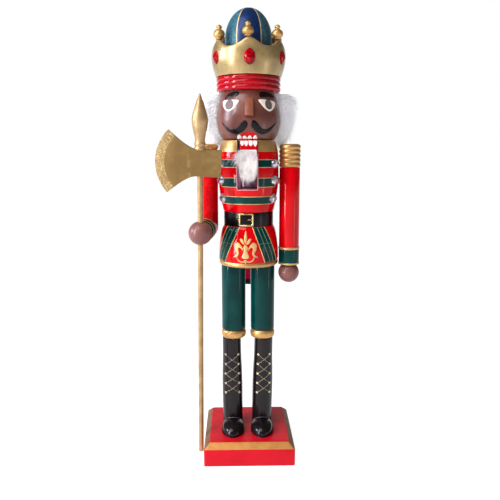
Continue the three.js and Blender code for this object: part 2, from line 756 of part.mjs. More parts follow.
// The axe head is a flat board: a straight socket, two hollow sides and a round cutting edge.
function makeAxe() {
  const { backX, neckHalf, tipX, tipHalf, edgeRadius, bevelRadius } = AXE;
  const board = new THREE.Shape();
  board.moveTo(backX, -neckHalf);
  board.lineTo(backX, neckHalf);
  board.lineTo(-5, neckHalf);
  board.quadraticCurveTo(-17, neckHalf + 1, tipX, tipHalf);
  board.lineTo(tipX - edgeRadius / 2, tipHalf);
  board.lineTo(tipX - edgeRadius / 2, -tipHalf);
  board.lineTo(tipX, -tipHalf);
  board.quadraticCurveTo(-17, -neckHalf - 1, -5, -neckHalf);
  const halfBoard = AXE.thickness / 2;
  const halfEdge = AXE.edgeThickness / 2;
  const centreX = tipX + Math.sqrt(edgeRadius ** 2 - tipHalf ** 2);
  const edge = turned(
    [
      [0, -halfBoard],
      [bevelRadius, -halfBoard],
      [edgeRadius, -halfEdge],
      [edgeRadius, halfEdge],
      [bevelRadius, halfBoard],
      [0, halfBoard],
    ],
    96,
  );
  edge.rotateX(Math.PI / 2).translate(centreX, 0, 0);
  const head = geometryOf(solid(extrudedDeep(board, AXE.thickness)).intersect(solid(edge)));
  head.rotateY(rad(-AXE.tilt)).translate(0, 0, AXE.height);
  return piece("axe_head", drilled(head, [bar(ROD.bore, 300, 500, 12)]), GOLD);
}
staff.add(makeAxe());

const spear = turned(
  [
    [0, SPEAR.bottom],
    [6.3, SPEAR.bottom],
    [7, SPEAR.bottom + 2.2],
    [6.3, SPEAR.bottom + 4.6],
    [6.9, SPEAR.bottom + 6.6],
    [SPEAR.neckRadius, SPEAR.bottom + 9.6],
    [6.7, SPEAR.bottom + 16],
    [8.9, SPEAR.widest - 8],
    [SPEAR.radius, SPEAR.widest],
    [8.2, SPEAR.widest + 9],
    [4.2, SPEAR.top - 10],
    [0, SPEAR.top],
  ],
  20,
);
staff.add(piece("spear_finial", drilled(spear, [bar(ROD.bore, 400, ROD.top + GAP, 12)]), GOLD));

export default figure;
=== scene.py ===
"""Looks for a painted, turned-wood nutcracker soldier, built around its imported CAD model.

Shapes are worked out in millimetres in the row's frame and scaled to metres when a mesh is made.
The figure faces -Y. An angle round a turned part is measured from its front, towards +X.
"""

import json
import math

import bmesh
import bpy
import numpy as np
from mathutils import Matrix, Vector, noise
from mathutils.geometry import delaunay_2d_cdt


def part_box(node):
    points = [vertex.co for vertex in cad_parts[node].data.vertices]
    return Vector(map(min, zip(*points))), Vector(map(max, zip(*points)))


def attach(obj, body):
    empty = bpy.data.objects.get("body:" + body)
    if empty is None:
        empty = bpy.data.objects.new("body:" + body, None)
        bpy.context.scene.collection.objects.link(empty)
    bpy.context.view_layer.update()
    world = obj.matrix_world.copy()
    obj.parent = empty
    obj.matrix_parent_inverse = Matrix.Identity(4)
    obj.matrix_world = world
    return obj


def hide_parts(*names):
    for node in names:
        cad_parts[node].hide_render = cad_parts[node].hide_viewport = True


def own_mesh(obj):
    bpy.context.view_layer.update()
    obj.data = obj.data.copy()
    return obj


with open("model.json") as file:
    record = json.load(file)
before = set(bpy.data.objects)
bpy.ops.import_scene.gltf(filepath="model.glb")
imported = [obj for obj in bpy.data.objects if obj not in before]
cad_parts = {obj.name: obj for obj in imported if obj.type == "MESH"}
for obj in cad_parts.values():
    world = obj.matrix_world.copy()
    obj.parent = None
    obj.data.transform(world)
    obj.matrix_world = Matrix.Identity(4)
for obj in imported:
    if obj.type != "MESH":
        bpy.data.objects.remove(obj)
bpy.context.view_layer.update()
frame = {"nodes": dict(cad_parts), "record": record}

MM = 0.001
RECORD = frame["record"]
BODY_OF = {n: b for b, nodes in RECORD["behaviour"]["bodies"].items() for n in nodes}
SLOT_OF = {part["node"]: part["material_slot"] for part in RECORD["subparts"]}
JOINTS = {joint["name"]: joint for joint in RECORD["behaviour"]["joints"]}


# ------------------------------------------------------------------ camera, floor and light


def make_camera():
    data = bpy.data.cameras.new("camera")
    data.sensor_width, data.lens = 36, 40.727
    camera = bpy.data.objects.new("camera", data)
    bpy.context.scene.collection.objects.link(camera)
    down, right = math.radians(-9.624), math.radians(1.247)
    level = math.cos(down)
    ahead = Vector((math.sin(right) * level, math.cos(right) * level, math.sin(down)))
    camera.location = (-0.0150, -0.77714, 0.42164)
    camera.rotation_euler = ahead.to_track_quat("-Z", "Y").to_euler()
    bpy.context.scene.camera = camera


def make_floor():
    """Pale paper, bright enough to run into the background."""
    bpy.ops.mesh.primitive_plane_add(size=40)
    floor = bpy.context.object
    floor.name = "studio_floor"
    material = bpy.data.materials.new("floor_paper")
    material.use_nodes = True
    shader = material.node_tree.nodes["Principled BSDF"]
    shader.inputs["Base Color"].default_value = (0.3, 0.3, 0.3, 1)
    shader.inputs["Roughness"].default_value = 0.95
    shader.inputs["Emission Color"].default_value = (1, 1, 1, 1)
    shader.inputs["Emission Strength"].default_value = 0.93
    floor.data.materials.append(material)


def add_area_light(name, place, aim, size, energy, color=(1, 1, 1)):
    data = bpy.data.lights.new(name, "AREA")
    data.shape = "RECTANGLE"
    data.size, data.size_y = size
    data.energy = energy
    data.color = color
    lamp = bpy.data.objects.new(name, data)
    bpy.context.scene.collection.objects.link(lamp)
    lamp.location = place
    lamp.rotation_euler = (Vector(aim) - Vector(place)).to_track_quat("-Z", "Y").to_euler()


def make_studio():
    """A grey room whose far wall is white, with a tall window to the left."""
    world = bpy.data.worlds.new("studio")
    bpy.context.scene.world = world
    world.use_nodes = True
    tree = world.node_tree
    parts = tree.nodes.new("ShaderNodeSeparateXYZ")
    tree.links.new(tree.nodes.new("ShaderNodeTexCoord").outputs["Generated"], parts.inputs["Vector"])
    ramp = tree.nodes.new("ShaderNodeValToRGB")
    room, wall = ramp.color_ramp.elements
    room.position, room.color = 0.8, (0.13, 0.13, 0.14, 1)
    wall.position, wall.color = 0.86, (1, 1, 1, 1)
    tree.links.new(parts.outputs["Y"], ramp.inputs["Fac"])
    tree.links.new(ramp.outputs["Color"], tree.nodes["Background"].inputs["Color"])
    bpy.context.scene.view_settings.view_transform = "Standard"
    add_area_light("window", (-1.5, -1.05, 0.8), (0, 0, 0.36), (0.26, 1.5), 38)
    add_area_light("side_window", (-1.6, -0.12, 0.75), (0, 0, 0.4), (0.42, 0.5), 20, (0.7, 0.8, 1))
    add_area_light("ceiling", (-0.8, -0.9, 1.8), (0, 0, 0.3), (1.2, 1.0), 23)
    add_area_light("low_card", (1.0, -0.62, 0.12), (0, 0, 0.2), (0.12, 0.4), 0.7)


# ------------------------------------------------------------------ materials


def linear(r, g, b):
    """Linear colour from display values of 0 to 255."""
    channel = [v / 255 for v in (r, g, b)]
    return (*[v / 12.92 if v <= 0.04045 else ((v + 0.055) / 1.055) ** 2.4 for v in channel], 1)


class Paint:
    """One procedural material, built node by node."""

    def __init__(self, name):
        self.material = bpy.data.materials.new(name)
        self.material.use_nodes = True
        self.tree = self.material.node_tree
        self.shader = self.tree.nodes["Principled BSDF"]
        self.place = self.node("ShaderNodeTexCoord").outputs["Object"]

    def node(self, kind, **values):
        made = self.tree.nodes.new(kind)
        for key, value in values.items():
            setattr(made, key, value)
        return made

    def link(self, source, target):
        self.tree.links.new(source, target)

    def noise(self, scale, detail=3, stretch=(1, 1, 1), roughness=0.5):
        """A noise value. scale is per metre, and stretch multiplies it along X, Y and Z."""
        mapping = self.node("ShaderNodeMapping")
        mapping.inputs["Scale"].default_value = stretch
        self.link(self.place, mapping.inputs["Vector"])
        texture = self.node("ShaderNodeTexNoise")
        texture.inputs["Scale"].default_value = scale
        texture.inputs["Detail"].default_value = detail
        texture.inputs["Roughness"].default_value = roughness
        self.link(mapping.outputs["Vector"], texture.inputs["Vector"])
        return texture.outputs["Fac"]

    def cells(self, scale):
        texture = self.node("ShaderNodeTexVoronoi")
        texture.inputs["Scale"].default_value = scale
        self.link(self.place, texture.inputs["Vector"])
        return texture.outputs["Color"]

    def ramp(self, value, stops):
        """A colour ramp of (position, colour) stops, or of (position, value) stops."""
        made = self.node("ShaderNodeValToRGB")
        elements = made.color_ramp.elements
        while len(elements) < len(stops):
            elements.new(0.5)
        for element, (position, color) in zip(elements, stops):
            element.position = position
            element.color = color if isinstance(color, tuple) else (color, color, color, 1)
        self.link(value, made.inputs["Fac"])
        return made.outputs["Color"]

    def blend(self, factor, first, second, mode="MIX"):
        made = self.node("ShaderNodeMix", data_type="RGBA", blend_type=mode)
        for socket, value in ((0, factor), (6, first), (7, second)):
            if isinstance(value, (tuple, float, int)):
                made.inputs[socket].default_value = value
            else:
                self.link(value, made.inputs[socket])
        return made.outputs[2]

    def bump(self, *layers):
        """Stacks (height, strength, distance in metres) layers of bump."""
        normal = None
        for height, strength, distance in layers:
            made = self.node("ShaderNodeBump")
            made.inputs["Strength"].default_value = strength
            made.inputs["Distance"].default_value = distance
            self.link(height, made.inputs["Height"])
            if normal is not None:
                self.link(normal, made.inputs["Normal"])
            normal = made.outputs["Normal"]
        self.link(normal, self.shader.inputs["Normal"])

    def fix(self, **values):
        """Sets constants on the shader's own sockets."""
        for key, value in values.items():
            self.shader.inputs[key.replace("_", " ")].default_value = value
        return self

    def worn_edges(self, color, edge_color, amount=0.55):
        """Lightens the most convex edges, where paint rubs thin."""
        pointiness = self.node("ShaderNodeNewGeometry").outputs["Pointiness"]
        patches = self.noise(160, 4)
        rubbed = self.blend(1.0, self.ramp(pointiness, [(0.53, 0.0), (0.6, 1.0)]),
                            self.ramp(patches, [(0.45, 0.0), (0.62, amount)]), "MULTIPLY")
        return self.blend(rubbed, color, edge_color)


UPRIGHT_BRUSH = (1, 1, 0.08)
LEVEL_BRUSH = (1, 0.1, 1)


def lighter(color, factor):
    """A paler tone of a linear colour, for rubbed edges."""
    return tuple(min(1, c * factor + 0.03) for c in color[:3]) + (1,)


def lacquer(name, color, deep, roughness=(0.06, 0.14), coat=0.04, brush=UPRIGHT_BRUSH, specular=0.1):
    """Glossy brushed paint over turned wood: faint brush marks, clouds of thinner paint, dust nibs."""
    color, deep = linear(*color), linear(*deep)
    paint = Paint(name)
    clouds = paint.noise(38, 4)
    strokes = paint.noise(420, 3, stretch=brush)
    tone = paint.blend(paint.ramp(clouds, [(0.3, 0.0), (0.75, 1.0)]), deep, color)
    tone = paint.blend(paint.ramp(strokes, [(0.35, 0.0), (0.8, 0.22)]), tone, deep)
    paint.link(paint.worn_edges(tone, lighter(color, 1.25)), paint.shader.inputs["Base Color"])
    smears = paint.noise(95, 5)
    shine = paint.ramp(smears, [(0.3, roughness[0]), (0.7, roughness[1])])
    paint.link(shine, paint.shader.inputs["Roughness"])
    nibs = paint.ramp(paint.noise(1300, 2), [(0.62, 0.0), (0.72, 1.0)])
    paint.bump((strokes, 0.12, 0.00025), (paint.noise(240, 2), 0.1, 0.0006), (nibs, 0.1, 0.00012))
    return paint.fix(Coat_Weight=coat, Coat_Roughness=0.08, Specular_IOR_Level=specular).material


def metallic_paint(name, color, dark, metallic=0.72, roughness=(0.32, 0.46), flake=0.35, coat=0.0):
    """Gold paint: metal flakes in a binder, with darker strokes where it was brushed thin."""
    color, dark = linear(*color), linear(*dark)
    paint = Paint(name)
    clouds = paint.noise(70, 5)
    tone = paint.blend(paint.ramp(clouds, [(0.32, 0.0), (0.68, 1.0)]), dark, color)
    sparkle = paint.cells(2600)
    tone = paint.blend(flake * 0.5, tone, paint.blend(1.0, tone, sparkle, "OVERLAY"))
    paint.link(paint.worn_edges(tone, lighter(color, 1.3), 0.8), paint.shader.inputs["Base Color"])
    paint.link(paint.ramp(paint.noise(150, 4), [(0.3, roughness[0]), (0.72, roughness[1])]),
               paint.shader.inputs["Roughness"])
    paint.bump((paint.noise(300, 4, stretch=(1, 1, 0.5)), 0.25, 0.0003), (sparkle, flake, 0.00006))
    paint.fix(Metallic=metallic, Coat_Weight=coat, Coat_Roughness=0.22, Specular_IOR_Level=0.25)
    return paint.material


def matte(name, color, dark, scale=300, roughness=0.6, bump=0.3, distance=0.0002):
    """A plain satin or matt finish with fine mottling."""
    paint = Paint(name)
    mottle = paint.noise(scale, 5)
    tones = [(0.3, linear(*dark)), (0.7, linear(*color))]
    paint.link(paint.ramp(mottle, tones), paint.shader.inputs["Base Color"])
    fine = paint.noise(scale * 4, 3)
    paint.link(paint.ramp(fine, [(0.3, roughness - 0.07), (0.7, roughness + 0.07)]),
               paint.shader.inputs["Roughness"])
    paint.bump((mottle, bump, distance), (fine, bump * 0.6, distance * 0.4))
    return paint.fix(Specular_IOR_Level=0.2).material


def bare_wood(name):
    """Birch dowel: long grain lines along Z."""
    paint = Paint(name)
    grain = paint.noise(900, 5, stretch=(1, 1, 0.04))
    paint.link(paint.ramp(grain, [(0.3, linear(176, 138, 92)), (0.7, linear(214, 184, 140))]),
               paint.shader.inputs["Base Color"])
    paint.bump((grain, 0.3, 0.0002))
    return paint.fix(Roughness=0.65).material


def glitter(name, color, dark, spark, size):
    """Paint with coarse glitter: single grains catch the light."""
    color, dark, spark = linear(*color), linear(*dark), linear(*spark)
    paint = Paint(name)
    grains = paint.cells(size)
    clouds = paint.noise(60, 4)
    tone = paint.blend(paint.ramp(clouds, [(0.3, 0.0), (0.7, 1.0)]), dark, color)
    bright = paint.ramp(grains, [(0.72, 0.0), (0.8, 1.0)])
    paint.link(paint.blend(bright, tone, spark), paint.shader.inputs["Base Color"])
    paint.link(paint.ramp(bright, [(0.0, 0.42), (1.0, 0.18)]), paint.shader.inputs["Roughness"])
    paint.bump((grains, 0.55, 0.00012), (paint.noise(260, 3), 0.2, 0.0003))
    return paint.fix(Metallic=0.2, Coat_Weight=0.12, Coat_Roughness=0.2, Specular_IOR_Level=0.2).material


def stone(name, color, dark, metallic, specular=0.3):
    """An acrylic stone whose cut facets mirror the room, over a mottled depth of its own colour."""
    paint = Paint(name)
    depth = paint.noise(240, 3)
    tones = [(0.35, linear(*dark)), (0.62, linear(*color))]
    paint.link(paint.ramp(depth, tones), paint.shader.inputs["Base Color"])
    scratches = paint.noise(700, 3, stretch=(1, 0.2, 1))
    paint.link(paint.ramp(scratches, [(0.4, 0.04), (0.75, 0.12)]), paint.shader.inputs["Roughness"])
    paint.bump((scratches, 0.04, 0.0001))
    paint.fix(Metallic=metallic, Coat_Weight=0.06, Coat_Roughness=0.03, Specular_IOR_Level=specular)
    return paint.material


def fur_material(name, light, shade):
    """Acrylic pile: white with shaded depths, softly shining, and given a faint glow of its own tone as
    painted light (emission), so it stays pale where shade falls.
    """
    light, shade = linear(*light), linear(*shade)
    paint = Paint(name)
    tufts = paint.noise(120, 4)
    fibres = paint.noise(1800, 2, stretch=(1, 1, 0.2))
    tone = paint.ramp(tufts, [(0.3, shade), (0.6, light)])
    paint.link(paint.blend(paint.ramp(fibres, [(0.3, 0.0), (0.8, 0.3)]), tone, shade),
               paint.shader.inputs["Base Color"])
    paint.bump((fibres, 0.4, 0.0002))
    # painted light: the pile's tone is also emitted at a low strength, a glow on fur that is no lamp
    paint.link(tone, paint.shader.inputs["Emission Color"])
    paint.fix(Roughness=0.55, Sheen_Weight=0.35, Sheen_Roughness=0.4, Emission_Strength=0.13)
    return paint.material


MATERIALS = {
    "red": lacquer("red_lacquer", (214, 0, 10), (186, 0, 10), specular=0.2),
    "sleeve_red": lacquer("sleeve_red", (212, 0, 10), (176, 0, 10), (0.2, 0.32), 0.0, specular=0.08),
    "cuff_green": lacquer("cuff_green", (26, 62, 44), (16, 44, 32), (0.4, 0.55), 0.0, specular=0.04),
    # painted shade: the crown's base ring gets a darker copy of the red, for the shade under the crown's
    # overhang
    "ring_red_painted_shade": lacquer("ring_red_painted_shade", (168, 0, 18), (132, 0, 14), (0.08, 0.16), 0.1, specular=0.25),
    "base_red": lacquer("base_red", (208, 18, 36), (192, 14, 32), (0.36, 0.5), 0.05, LEVEL_BRUSH),
    "green": lacquer("green_lacquer", (0, 66, 62), (0, 45, 45), specular=0.12),
    "black": lacquer("black_lacquer", (27, 19, 22), (15, 10, 12), (0.14, 0.28), 0.05, specular=0.25),
    "skin": lacquer("skin_paint", (116, 66, 56), (94, 50, 42), (0.26, 0.4), 0.12, specular=0.4),
    "hand": lacquer("hand_paint", (132, 82, 76), (112, 68, 63), (0.32, 0.44), 0.08, specular=0.35),
    "nose": lacquer("nose_paint", (136, 76, 56), (112, 60, 44), (0.3, 0.44), 0.1, specular=0.3),
    "gold": metallic_paint("gold_paint", (207, 162, 104), (180, 138, 82)),
    "crown_gold": metallic_paint("crown_gold", (170, 144, 96), (142, 118, 74),
                                 0.55, (0.26, 0.38), coat=0.6),
    "staff_gold": metallic_paint("staff_gold", (180, 148, 104), (152, 120, 80),
                                 0.45, (0.36, 0.5), coat=0.3),
    "base_gold": metallic_paint("base_gold", (202, 142, 76), (182, 122, 60), 0.4, (0.45, 0.58)),
    # painted shade: a darker, duller copy of the base's gold for its side bevels, which turn away from the
    # light
    "base_gold_painted_shade": metallic_paint("base_gold_painted_shade", (126, 96, 68), (104, 76, 50), 0.2, (0.5, 0.62)),
    "gold_line": metallic_paint("gold_line", (214, 182, 122), (184, 150, 96), 0.3, (0.4, 0.55)),
    "stripe_line": matte("stripe_line", (146, 146, 110), (110, 114, 84), 300, 0.4, 0.2),
    "axe_gold": metallic_paint("axe_gold", (130, 102, 58), (118, 90, 50), 0.3, (0.55, 0.65)),
    "edge_glitter": glitter("edge_glitter", (150, 122, 78), (130, 102, 62), (226, 200, 146), 1400),
    "navy": glitter("navy_glitter", (6, 36, 84), (4, 24, 60), (34, 70, 120), 1900),
    "teal": glitter("teal_glitter", (36, 86, 104), (26, 66, 84), (110, 160, 170), 1900),
    "vinyl": matte("belt_vinyl", (5, 3, 5), (2, 2, 2), 500, 0.24, 0.12, 0.00015),
    "buckle": metallic_paint("buckle_metal", (222, 196, 142), (196, 166, 110), 0.9, (0.18, 0.32), 0.08),
    "ruby": stone("ruby_stone", (176, 0, 14), (84, 0, 10), 0.0, specular=0.16),
    "crystal": stone("clear_stone", (222, 214, 222), (120, 108, 122), 0.7),
    "fur": fur_material("white_fur", (253, 253, 254), (236, 234, 239)),
    "beard": fur_material("beard_fur", (251, 246, 243), (214, 202, 208)),
    # slot look: a pinkish-brown, made paler as painted light because the slot's walls and the lever inside it
    # lie in shade
    "slot": matte("slot_wood_painted_light", (206, 158, 182), (172, 122, 148), 160, 0.6),
    "wood": bare_wood("bare_wood"),
    "white": matte("eye_white", (240, 230, 220), (228, 216, 204), 260, 0.32, 0.12),
    "iris": matte("iris_paint", (120, 104, 104), (88, 74, 72), 420, 0.3, 0.12),
    "iris_ring": matte("iris_ring", (84, 68, 68), (62, 48, 50), 420, 0.3, 0.12),
    "pupil": matte("brow_black", (24, 20, 24), (12, 10, 13), 420, 0.24, 0.2),
    "tooth": matte("tooth_enamel", (242, 238, 232), (228, 222, 214), 300, 0.28, 0.12),
    "lip": lacquer("lip_red", (204, 6, 20), (176, 2, 14), (0.2, 0.34), 0.2),
    "lace": matte("lace_cream", (164, 148, 130), (132, 116, 100), 600, 0.5, 0.2),
    "eyelet": matte("eyelet_cream", (204, 190, 162), (176, 160, 134), 600, 0.4, 0.2),
    # painted shade: the nose's underside gets a darker brown, for the shade under the nose
    "nose_underside_painted_shade": matte("nose_underside_painted_shade", (98, 56, 38), (78, 42, 28), 300, 0.4, 0.2),
    # painted shade: a darker, more purple red for the lever's tail, deepened for the shade under the skirt
    # between the legs
    "tail_red_painted_shade": lacquer("tail_red_painted_shade", (150, 20, 48), (108, 6, 28), specular=0.1),
    # a dark brown for the thin rim round each ruby
    "ruby_dark_rim": matte("ruby_dark_rim_paint", (92, 66, 44), (60, 40, 28), 500, 0.4, 0.2),
    "glue": matte("glue_bead", (96, 90, 96), (70, 64, 70), 500, 0.25, 0.2),
    "pale_edge": matte("pale_edge", (226, 170, 170), (206, 136, 138), 500, 0.4, 0.2),
    "steel": metallic_paint("pin_steel", (170, 170, 172), (130, 130, 132), 1.0, (0.25, 0.4), 0.05),
}


# ------------------------------------------------------------------ mesh helpers


def new_piece(name, vertices, faces, looks, face_looks=None, sharp=38):
    """An object from vertices in millimetres. face_looks gives each face's index into looks."""
    mesh = bpy.data.meshes.new(name)
    mesh.from_pydata((np.asarray(vertices, float) * MM).tolist(), [], [list(map(int, f)) for f in faces])
    for look in looks:
        mesh.materials.append(MATERIALS[look])
    if face_looks is not None:
        mesh.polygons.foreach_set("material_index", np.asarray(face_looks, np.int32))
    mesh.update()
    mesh.shade_smooth()
    mesh.set_sharp_from_angle(angle=math.radians(sharp))
    piece = bpy.data.objects.new(name, mesh)
    bpy.context.scene.collection.objects.link(piece)
    return piece


def stand_for(piece, *nodes):
    """The piece takes the place and the body of CAD nodes: it hides them and moves with the first node's
    body.
    """
    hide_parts(*nodes)
    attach(piece, BODY_OF[nodes[0]])
    return piece


def trim_on(piece, node, slot=None):
    """A painted detail that moves with a CAD node's body."""
    slot or SLOT_OF[node]
    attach(piece, BODY_OF[node])
    return piece


def box_mm(node):
    low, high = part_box(node)
    return Vector(low) / MM, Vector(high) / MM


def middle_mm(node):
    low, high = box_mm(node)
    return (low + high) / 2


def points_mm(node, group=None):
    """A CAD node's vertices, in the row's frame or in a turned group's own."""
    vertices = frame["nodes"][node].data.vertices
    if group is None:
        return np.array([v.co for v in vertices]) / MM
    inverse = group.inverted()
    return np.array([inverse @ (v.co / MM) for v in vertices])


def centre_of(points):
    return Vector((points.min(axis=0) + points.max(axis=0)) / 2)


def axis_mm(node):
    """Centres of the lowest and the highest section of an upright CAD node."""
    points = points_mm(node)
    heights = points[:, 2]
    return [centre_of(points[abs(heights - level) < 0.05]) for level in (heights.min(), heights.max())]


def bezier(start, control, end, t):
    return start * (1 - t) ** 2 + control * 2 * t * (1 - t) + end * t**2


def fillet(points, radius, steps=4):
    """Rounds the corners of an open outline."""
    points = [Vector(p) for p in points]
    out = [points[0]]
    for before, corner, after in zip(points, points[1:], points[2:]):
        into, away = before - corner, after - corner
        reach = min(radius, into.length * 0.45, away.length * 0.45)
        turn = into.normalized().dot(away.normalized())
        if turn < -0.995 or reach < 1e-4:
            out.append(corner)
            continue
        first, last = corner + into.normalized() * reach, corner + away.normalized() * reach
        out += [bezier(first, corner, last, i / steps) for i in range(steps + 1)]
    out.append(points[-1])
    return [tuple(p) for p in out]


def smooth_outline(points, steps=6, closed=True):
    """A rounded curve through given points (Catmull-Rom)."""
    points = [Vector(p) for p in points]
    count = len(points)
    spans = count if closed else count - 1
    out = []
    for i in range(spans):
        if closed:
            a, b, c, d = (points[(i + k) % count] for k in (-1, 0, 1, 2))
        else:
            a, b, c, d = (points[min(max(i + k, 0), count - 1)] for k in (-1, 0, 1, 2))
        for k in range(steps):
            t = k / steps
            out.append(0.5 * (2 * b + (c - a) * t + (2 * a - 5 * b + 4 * c - d) * t**2
                              + (3 * b - a - 3 * c + d) * t**3))
    if not closed:
        out.append(points[-1])
    return [tuple(p) for p in out]


def open_curve(points, steps):
    return smooth_outline(points, steps, closed=False)


def add_levels(outline, levels):
    """Puts a point on a rising outline at each height, so that a paint edge can follow it."""
    out = list(outline)
    for level in levels:
        for i, (low, high) in enumerate(zip(out, out[1:])):
            if low[1] < level < high[1]:
                t = (level - low[1]) / (high[1] - low[1])
                out.insert(i + 1, (low[0] + t * (high[0] - low[0]), level))
                break
    return out


def bands(rows, wrap=True):
    """Four-sided faces between neighbouring rows of vertex numbers."""
    faces = []
    for low, high in zip(rows, rows[1:]):
        count = len(low)
        for i in range(count if wrap else count - 1):
            k = (i + 1) % count
            faces.append([low[i], low[k], high[k], high[i]])
    return faces


def turned_mesh(outline, segments=128, place=None, warp=None, paint=None, loop=False):
    """Vertices, faces and face looks of a body turned about +Z from (radius, z) points that run up
    its outside. Points on the axis become poles. warp(radius, angle, z) may move every vertex."""
    angles = np.arange(segments) * 2 * math.pi / segments
    vertices, rows = [], []
    for radius, z in outline:
        row_start = len(vertices)
        if radius < 1e-6:
            vertices.append((0.0, 0.0, z))
            rows.append([row_start] * segments)
            continue
        for angle in angles:
            r, h = (radius, z) if warp is None else warp(radius, angle, z)
            vertices.append((r * math.sin(angle), -r * math.cos(angle), h))
        rows.append(list(range(row_start, row_start + segments)))
    if loop:
        rows.append(rows[0])
    faces, looks = [], []
    heights = [z for _, z in outline] + ([outline[0][1]] if loop else [])
    for j, (low, high) in enumerate(zip(rows, rows[1:])):
        for i in range(segments):
            k = (i + 1) % segments
            corners = [low[i], low[k], high[k], high[i]]
            face = [c for n, c in enumerate(corners) if c not in corners[:n]]
            if len(face) < 3:
                continue
            faces.append(face)
            if paint is not None:
                angle = (angles[i] + math.pi / segments + math.pi) % (2 * math.pi) - math.pi
                looks.append(paint((heights[j] + heights[j + 1]) / 2, math.degrees(angle)))
    vertices = np.array(vertices)
    if place is not None:
        matrix = np.array(place)
        vertices = vertices @ matrix[:3, :3].T + matrix[:3, 3]
    return vertices, faces, looks or None


def turned(name, outline, looks, segments=128, place=None, warp=None, paint=None, loop=False, sharp=38):
    vertices, faces, face_looks = turned_mesh(outline, segments, place, warp, paint, loop)
    return new_piece(name, vertices, faces, looks, face_looks, sharp)


def upright(centre, turn=0):
    """A placement at (x, y), turned about Z by an angle in degrees."""
    return Matrix.Translation((centre[0], centre[1], 0)) @ Matrix.Rotation(math.radians(turn), 4, "Z")


def along(start, direction):
    """A placement whose +Z runs along a direction from a start point."""
    turn = Vector((0, 0, 1)).rotation_difference(Vector(direction)).to_matrix().to_4x4()
    return Matrix.Translation(start) @ turn


def facing(place, across, up, out):
    """A placement at a point, with the given directions as its X, Y and Z."""
    return Matrix.Translation(place) @ Matrix((across, up, out)).transposed().to_4x4()


class Drum:
    """The outside of a turned part, which painted details lie on."""

    def __init__(self, outline, place):
        side = sorted((z, r) for r, z in outline if r > 1)
        self.heights = [z for z, _ in side]
        self.radii = [r for _, r in side]
        self.place = place

    def radius(self, z):
        return float(np.interp(z, self.heights, self.radii))

    def point(self, angle, z, lift=0.0):
        """A point at an angle in degrees and a height, `lift` mm above the surface."""
        step = 0.5
        slope = (self.radius(z + step) - self.radius(z - step)) / (2 * step)
        across = 1 / math.hypot(1, slope)
        r = self.radius(z) + lift * across
        a = math.radians(angle)
        return self.place @ Vector((r * math.sin(a), -r * math.cos(a), z - lift * slope * across))

    def normal(self, angle, z):
        return (self.point(angle, z, 1.0) - self.point(angle, z)).normalized()

    def stand(self, angle, z, lift=0.0):
        """A placement on the surface: X goes round it, Y goes up it and Z points out."""
        out = self.normal(angle, z)
        up = (Vector((0, 0, 1)) - out * out.z).normalized()
        return facing(self.point(angle, z, lift), up.cross(out), up, out)


def edge_distance(points, loops):
    """Distance of each point to the nearest edge of the outlines."""
    best = np.full(len(points), 1e9)
    for loop in loops:
        starts = np.array(loop)
        ends = np.roll(starts, -1, axis=0)
        for a, b in zip(starts, ends):
            along_edge = b - a
            t = np.clip(((points - a) @ along_edge) / max(along_edge @ along_edge, 1e-12), 0, 1)
            best = np.minimum(best, np.linalg.norm(points - (a + t[:, None] * along_edge), axis=1))
    return best


def film(name, drum, outlines, look, thickness=0.25, grid=1.3, soft=0.7, base=0.0):
    """Raised paint on a drum. The first outline is its edge and any others are holes, in
    (angle, height). The film stands `base` mm off the drum and thins within `soft` mm of its edge."""
    scale = math.radians(1) * max(drum.radii)
    flat = [np.array([(a * scale, z) for a, z in outline]) for outline in outlines]
    xy, faces = filled(flat, grid)
    rise = np.clip(edge_distance(xy, flat) / soft, 0, 1)
    lift = base + thickness * (0.25 + 0.75 * np.sqrt(1 - (1 - rise) ** 2))
    top = [drum.point(x / scale, z, h) for (x, z), h in zip(xy, lift)]
    bottom = [drum.point(x / scale, z, base - 0.15) for x, z in xy]
    count = len(xy)
    shell, edges = [], {}
    for face in faces:
        a, b, c = (xy[i] for i in face[:3])
        if (b[0] - a[0]) * (c[1] - a[1]) - (b[1] - a[1]) * (c[0] - a[0]) < 0:
            face.reverse()
        shell += [face, [i + count for i in reversed(face)]]
        edges.update(dict.fromkeys(zip(face, face[1:] + face[:1])))
    shell += [[i, i + count, j + count, j] for i, j in edges if (j, i) not in edges]
    return new_piece(name, top + bottom, shell, [look], sharp=60)


def filled(loops, grid):
    """Points and triangles that fill flat outlines, with points about `grid` mm apart inside."""
    low, high = loops[0].min(axis=0), loops[0].max(axis=0)
    points, edges = [], []
    for loop in loops:
        start = len(points)
        points += [tuple(p) for p in loop]
        edges += [(start + i, start + (i + 1) % len(loop)) for i in range(len(loop))]
    columns = np.arange(low[0] + grid / 2, high[0], grid)
    rows = np.arange(low[1] + grid / 2, high[1], grid)
    inner = np.array([(x + (j % 2) * grid / 2, z) for j, z in enumerate(rows) for x in columns])
    if len(inner):
        far = edge_distance(inner, loops) > grid * 0.45
        points += [tuple(p) for p in inner[far]]
    flat_points, _, faces, *_ = delaunay_2d_cdt([Vector(p) for p in points], edges, [], 0, 1e-5)
    inside = []
    for face in faces:
        centre = sum((Vector(flat_points[i]) for i in face), Vector((0, 0))) / len(face)
        if odd_crossings(centre, loops):
            inside.append(face)
    used = sorted({i for face in inside for i in face})
    index = {old: new for new, old in enumerate(used)}
    return np.array([tuple(flat_points[i]) for i in used]), [[index[i] for i in face] for face in inside]


def odd_crossings(point, loops):
    """True inside the outlines, counting a hole as outside."""
    inside = False
    for loop in loops:
        for a, b in zip(loop, np.roll(loop, -1, axis=0)):
            if (a[1] > point[1]) != (b[1] > point[1]):
                if point[0] < a[0] + (point[1] - a[1]) * (b[0] - a[0]) / (b[1] - a[1]):
                    inside = not inside
    return inside


